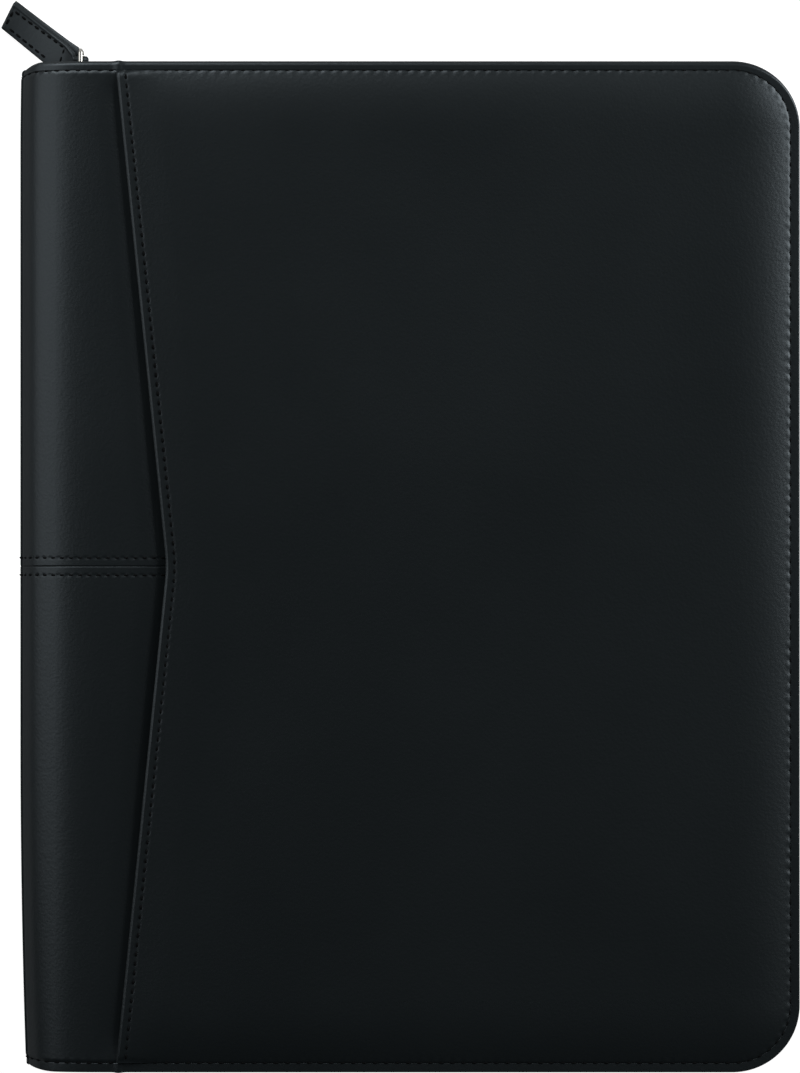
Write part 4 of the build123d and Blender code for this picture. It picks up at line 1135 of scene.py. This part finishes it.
class FOLIO_OT_organiser(bpy.types.Operator):
    """The pockets sewn inside the front cover: file pocket, card pockets and the card window's frame"""

    bl_idname = "folio.organiser"
    bl_label = "Organiser"

    def execute(self, context):
        row = stitch()
        finish, thread, rows = leatherette("organiser"), thread_finish(), []
        close, inset = np.linspace(0, 1, 9)[1:-1] * 2 * MM, 2.2 * MM
        share = np.sort(np.concatenate((np.linspace(0, 1, 40), 0.02 * np.linspace(0, 1, 8)[1:-1],
                                        1 - 0.03 * np.linspace(0, 1, 8)[1:-1])))[:, None]
        for name in ("file_pocket", "card_pocket_1", "card_pocket_2", "card_pocket_3"):
            low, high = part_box(name)
            x = np.sort(np.concatenate((np.linspace(low.x, high.x, 90), low.x + close, high.x - close)))
            # The file pocket has a half-round notch for the thumb.
            notch = 14 * MM if name == "file_pocket" else 0.0
            mouth = high.y - np.sqrt(np.maximum(notch**2 - (x - (low.x + high.x) / 2) ** 2, 0))
            y = low.y + share * (mouth - low.y)
            edge = np.minimum(np.minimum(x - low.x, high.x - x), np.minimum(y - low.y, mouth - y))
            # Each sheet rounds off at its edges, and the uncovered ones bow a little towards their mouths.
            free = name in ("file_pocket", "card_pocket_3")
            bow = 0.25 * MM * free * np.sin(np.pi * (x - low.x) / (high.x - low.x)) * share**2
            shown = low.z + 0.3 * MM * fall(edge, 0.5 * MM) - bow
            sheet = closed_skin(f"{name}_leather", together(x, y, high.z), together(x, y, shown), finish)
            carry(sheet, "front_cover", (name,))
            left, right, foot, head = low.x + inset, high.x - inset, low.y + inset, high.y - inset
            corners = np.array([(left, head), (left, foot), (right, foot), (right, head)])
            for first, last in zip(corners[:-1], corners[1:]):
                plan = first + (last - first) * np.linspace(0, 1, 30)[:, None]
                line = together(plan[:, 0], plan[:, 1], low.z + 0.05 * MM)
                rows.append(stitch_row(line, -UP, row.seam_pitch, row.thread * 0.8, LONG_STITCH))
        low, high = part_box("card_window_frame")
        border, round_off, thick = 6 * MM, 4 * MM, 0.4 * MM
        angle = np.linspace(0, 2 * np.pi, 160, endpoint=False) + 0.01
        half = np.array((high.x - low.x, high.y - low.y)) / 2 - border
        middle = (low + high) / 2
        wave = together(np.cos(angle), np.sin(angle))
        # The opening's outline is a circle of the corner radius pushed out to the four corners.
        opening = np.sign(wave) * (half - round_off) + wave * round_off
        frame_run = np.clip(opening / half, -1, 1) * (half + border) - opening
        wide = np.linalg.norm(frame_run, axis=1)
        path = together(middle.x + opening[:, 0], middle.y + opening[:, 1], middle.z)
        out = together(frame_run[:, 0] / wide, frame_run[:, 1] / wide, 0.0)
        profile = rounded_profile(together(0 * wide, -thick), together(wide, thick), 8, 24)
        band = carried(path, out, UP, profile, closed=True)
        surround = make_band("card_window_frame_leather", finish, band)
        carry(surround, "front_cover", ("card_window_frame",))
        carry(make_stitches("organiser_stitches", thread, rows), "front_cover")
        return {"FINISHED"}


class FOLIO_OT_writing_pad(bpy.types.Operator):
    """The sleeve that holds the writing pad, and the finishes of the pad's sheets and header"""

    bl_idname = "folio.writing_pad"
    bl_label = "Writing pad"

    def execute(self, context):
        low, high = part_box("pad_sleeve")
        close = 4 * MM
        steps = np.concatenate((close * np.linspace(0, 1, 14) ** 1.4, np.linspace(close, 0.5, 40)[1:]))

        def spread(start, stop):
            """Positions that crowd towards both ends."""
            half = steps[steps < (stop - start) / 2]
            return np.concatenate((start + half, stop - half[::-1]))

        x, y = np.meshgrid(spread(low.x, high.x), spread(low.y, high.y))
        side = np.minimum(np.minimum(x - low.x, high.x - x), y - low.y)
        # The sleeve's top stands over the backing board and falls to the lining round its three sewn sides.
        shown = high.z - 1.1 * MM * (1 - ease(side / (1.5 * MM))) - 0.25 * MM * fall(high.y - y, 0.5 * MM)
        under = np.where(side > 1.4 * MM, high.z - 0.8 * MM, low.z)
        sleeve = closed_skin("pad_sleeve_leather", together(x, y, shown), together(x, y, under),
                             leatherette("pad sleeve"))
        carry(sleeve, "back_cover", ("pad_sleeve",))
        paint(paper_finish(), "paper", "writing_pad")
        header = fibre_finish("crepe cloth header tape", "header", 0.5 * MM, 0.75)
        paint(header, "header_tape", "pad_header_tape")
        return {"FINISHED"}


class FOLIO_OT_hard_parts(bpy.types.Operator):
    """Finishes of the parts that keep the frame's own shape: metal, teeth, boards and film"""

    bl_idname = "folio.hard_parts"
    bl_label = "Metal, teeth, boards and film"

    def execute(self, context):
        paint(nickel_finish(), "metal", "slider_body", "slider_bridge", "pull_ring", "back_top_stop",
              "front_top_stop", "bottom_stop")
        paint(moulded_finish(), "zip_teeth", "back_teeth_top", "front_teeth_top", "back_teeth_main",
              "front_teeth_main")
        board = fibre_finish("pressed grey board", "board", 1.2 * MM, 0.85)
        paint(board, "grey_board", "back_board", "front_board", "pad_backing_board")
        paint(film_finish(), "clear_film", "card_window")
        return {"FINISHED"}


class FOLIO_OT_studio(bpy.types.Operator):
    """A white floor, three softboxes, a pale surround and the camera straight above"""

    bl_idname = "folio.studio"
    bl_label = "Studio"

    def execute(self, context):
        size = sizes()
        scene = context.scene
        studio = scene.folio_studio
        side = np.linspace(-0.5, 0.5, 9) * studio.floor_size
        x, y = np.meshgrid(side, side)
        closed_skin("studio_floor", together(x, y, -0.3 * MM), together(x, y, -10.3 * MM),
                             floor_finish())

        aim = Vector((studio.look_x, studio.look_y, size.panel_top))
        for name, spot, spread, power in (
            ("spine_softbox", (-0.9, 0.3, 0.75), (0.9, 1.0), studio.spine_lamp),
            ("zip_softbox", (0.9, 0.5, 0.55), (0.8, 0.8), studio.zip_lamp),
            ("top_softbox", (-0.45, 0.95, 0.6), (0.7, 0.5), studio.top_lamp),
        ):
            data = bpy.data.lights.new(name, "AREA")
            data.shape, data.energy = "RECTANGLE", power
            data.size, data.size_y = spread
            lamp = bpy.data.objects.new(name, data)
            scene.collection.objects.link(lamp)
            lamp.location = spot
            lamp.rotation_euler = (aim - lamp.location).to_track_quat("-Z", "Y").to_euler()

        scene.world = bpy.data.worlds.new("pale surround")
        scene.world.use_nodes = True
        tree = scene.world.node_tree
        tree.nodes.clear()
        glow, white = (node(tree, "Background", {"Color": tone, "Strength": 1})
                       for tone in ((0.06, 0.064, 0.066, 1), (1, 1, 1, 1)))
        surround = node(tree, "MixShader", {0: in_sight(tree)[1], 1: glow, 2: white})
        node(tree, "OutputWorld", {"Surface": surround})

        data = bpy.data.cameras.new("camera")
        data.sensor_width = 36
        data.lens = data.sensor_width * studio.camera_distance / studio.frame_height
        data.clip_end = 50
        scene.camera = bpy.data.objects.new("camera", data)
        scene.collection.objects.link(scene.camera)
        scene.camera.location = aim + Vector((0, 0, studio.camera_distance))
        scene.view_settings.view_transform = "Standard"
        return {"FINISHED"}


class FOLIO_PT_dressing(bpy.types.Panel):
    """Lists the sizes, colours and pieces in the 3D view's sidebar"""

    bl_idname = "FOLIO_PT_dressing"
    bl_label = "Padfolio"
    bl_space_type = "VIEW_3D"
    bl_region_type = "UI"
    bl_category = "Padfolio"

    def draw(self, context):
        for step in STEPS:
            self.layout.operator(step.bl_idname)
        for name, group in GROUPS.items():
            box = self.layout.box()
            for key in group.__annotations__:
                box.prop(getattr(context.scene, name), key)


STEPS = (
    FOLIO_OT_pocket_panel, FOLIO_OT_back_panel, FOLIO_OT_spine_leather, FOLIO_OT_edge_binding,
    FOLIO_OT_linings, FOLIO_OT_zip_tapes, FOLIO_OT_stitching, FOLIO_OT_pull_tab, FOLIO_OT_pen_loop,
    FOLIO_OT_organiser, FOLIO_OT_writing_pad, FOLIO_OT_hard_parts, FOLIO_OT_studio,
)
GROUPS = {"folio_sizes": FolioSizes, "folio_stitches": StitchSizes, "folio_colours": FinishColours,
          "folio_studio": StudioSizes}


def register():
    """Adds the property groups, operators and panel."""
    for name, group in GROUPS.items():
        bpy.utils.register_class(group)
        setattr(bpy.types.Scene, name, PointerProperty(type=group))
    for step in (*STEPS, FOLIO_PT_dressing):
        bpy.utils.register_class(step)


def unregister():
    """Takes them away again."""
    for step in (*STEPS, FOLIO_PT_dressing):
        bpy.utils.unregister_class(step)
    for name, group in GROUPS.items():
        delattr(bpy.types.Scene, name)
        bpy.utils.unregister_class(group)


def main():
    """Builds every piece in order."""
    register()
    for step in STEPS:
        family, action = step.bl_idname.split(".")
        getattr(getattr(bpy.ops, family), action)()


if __name__ == "__main__":
    main()
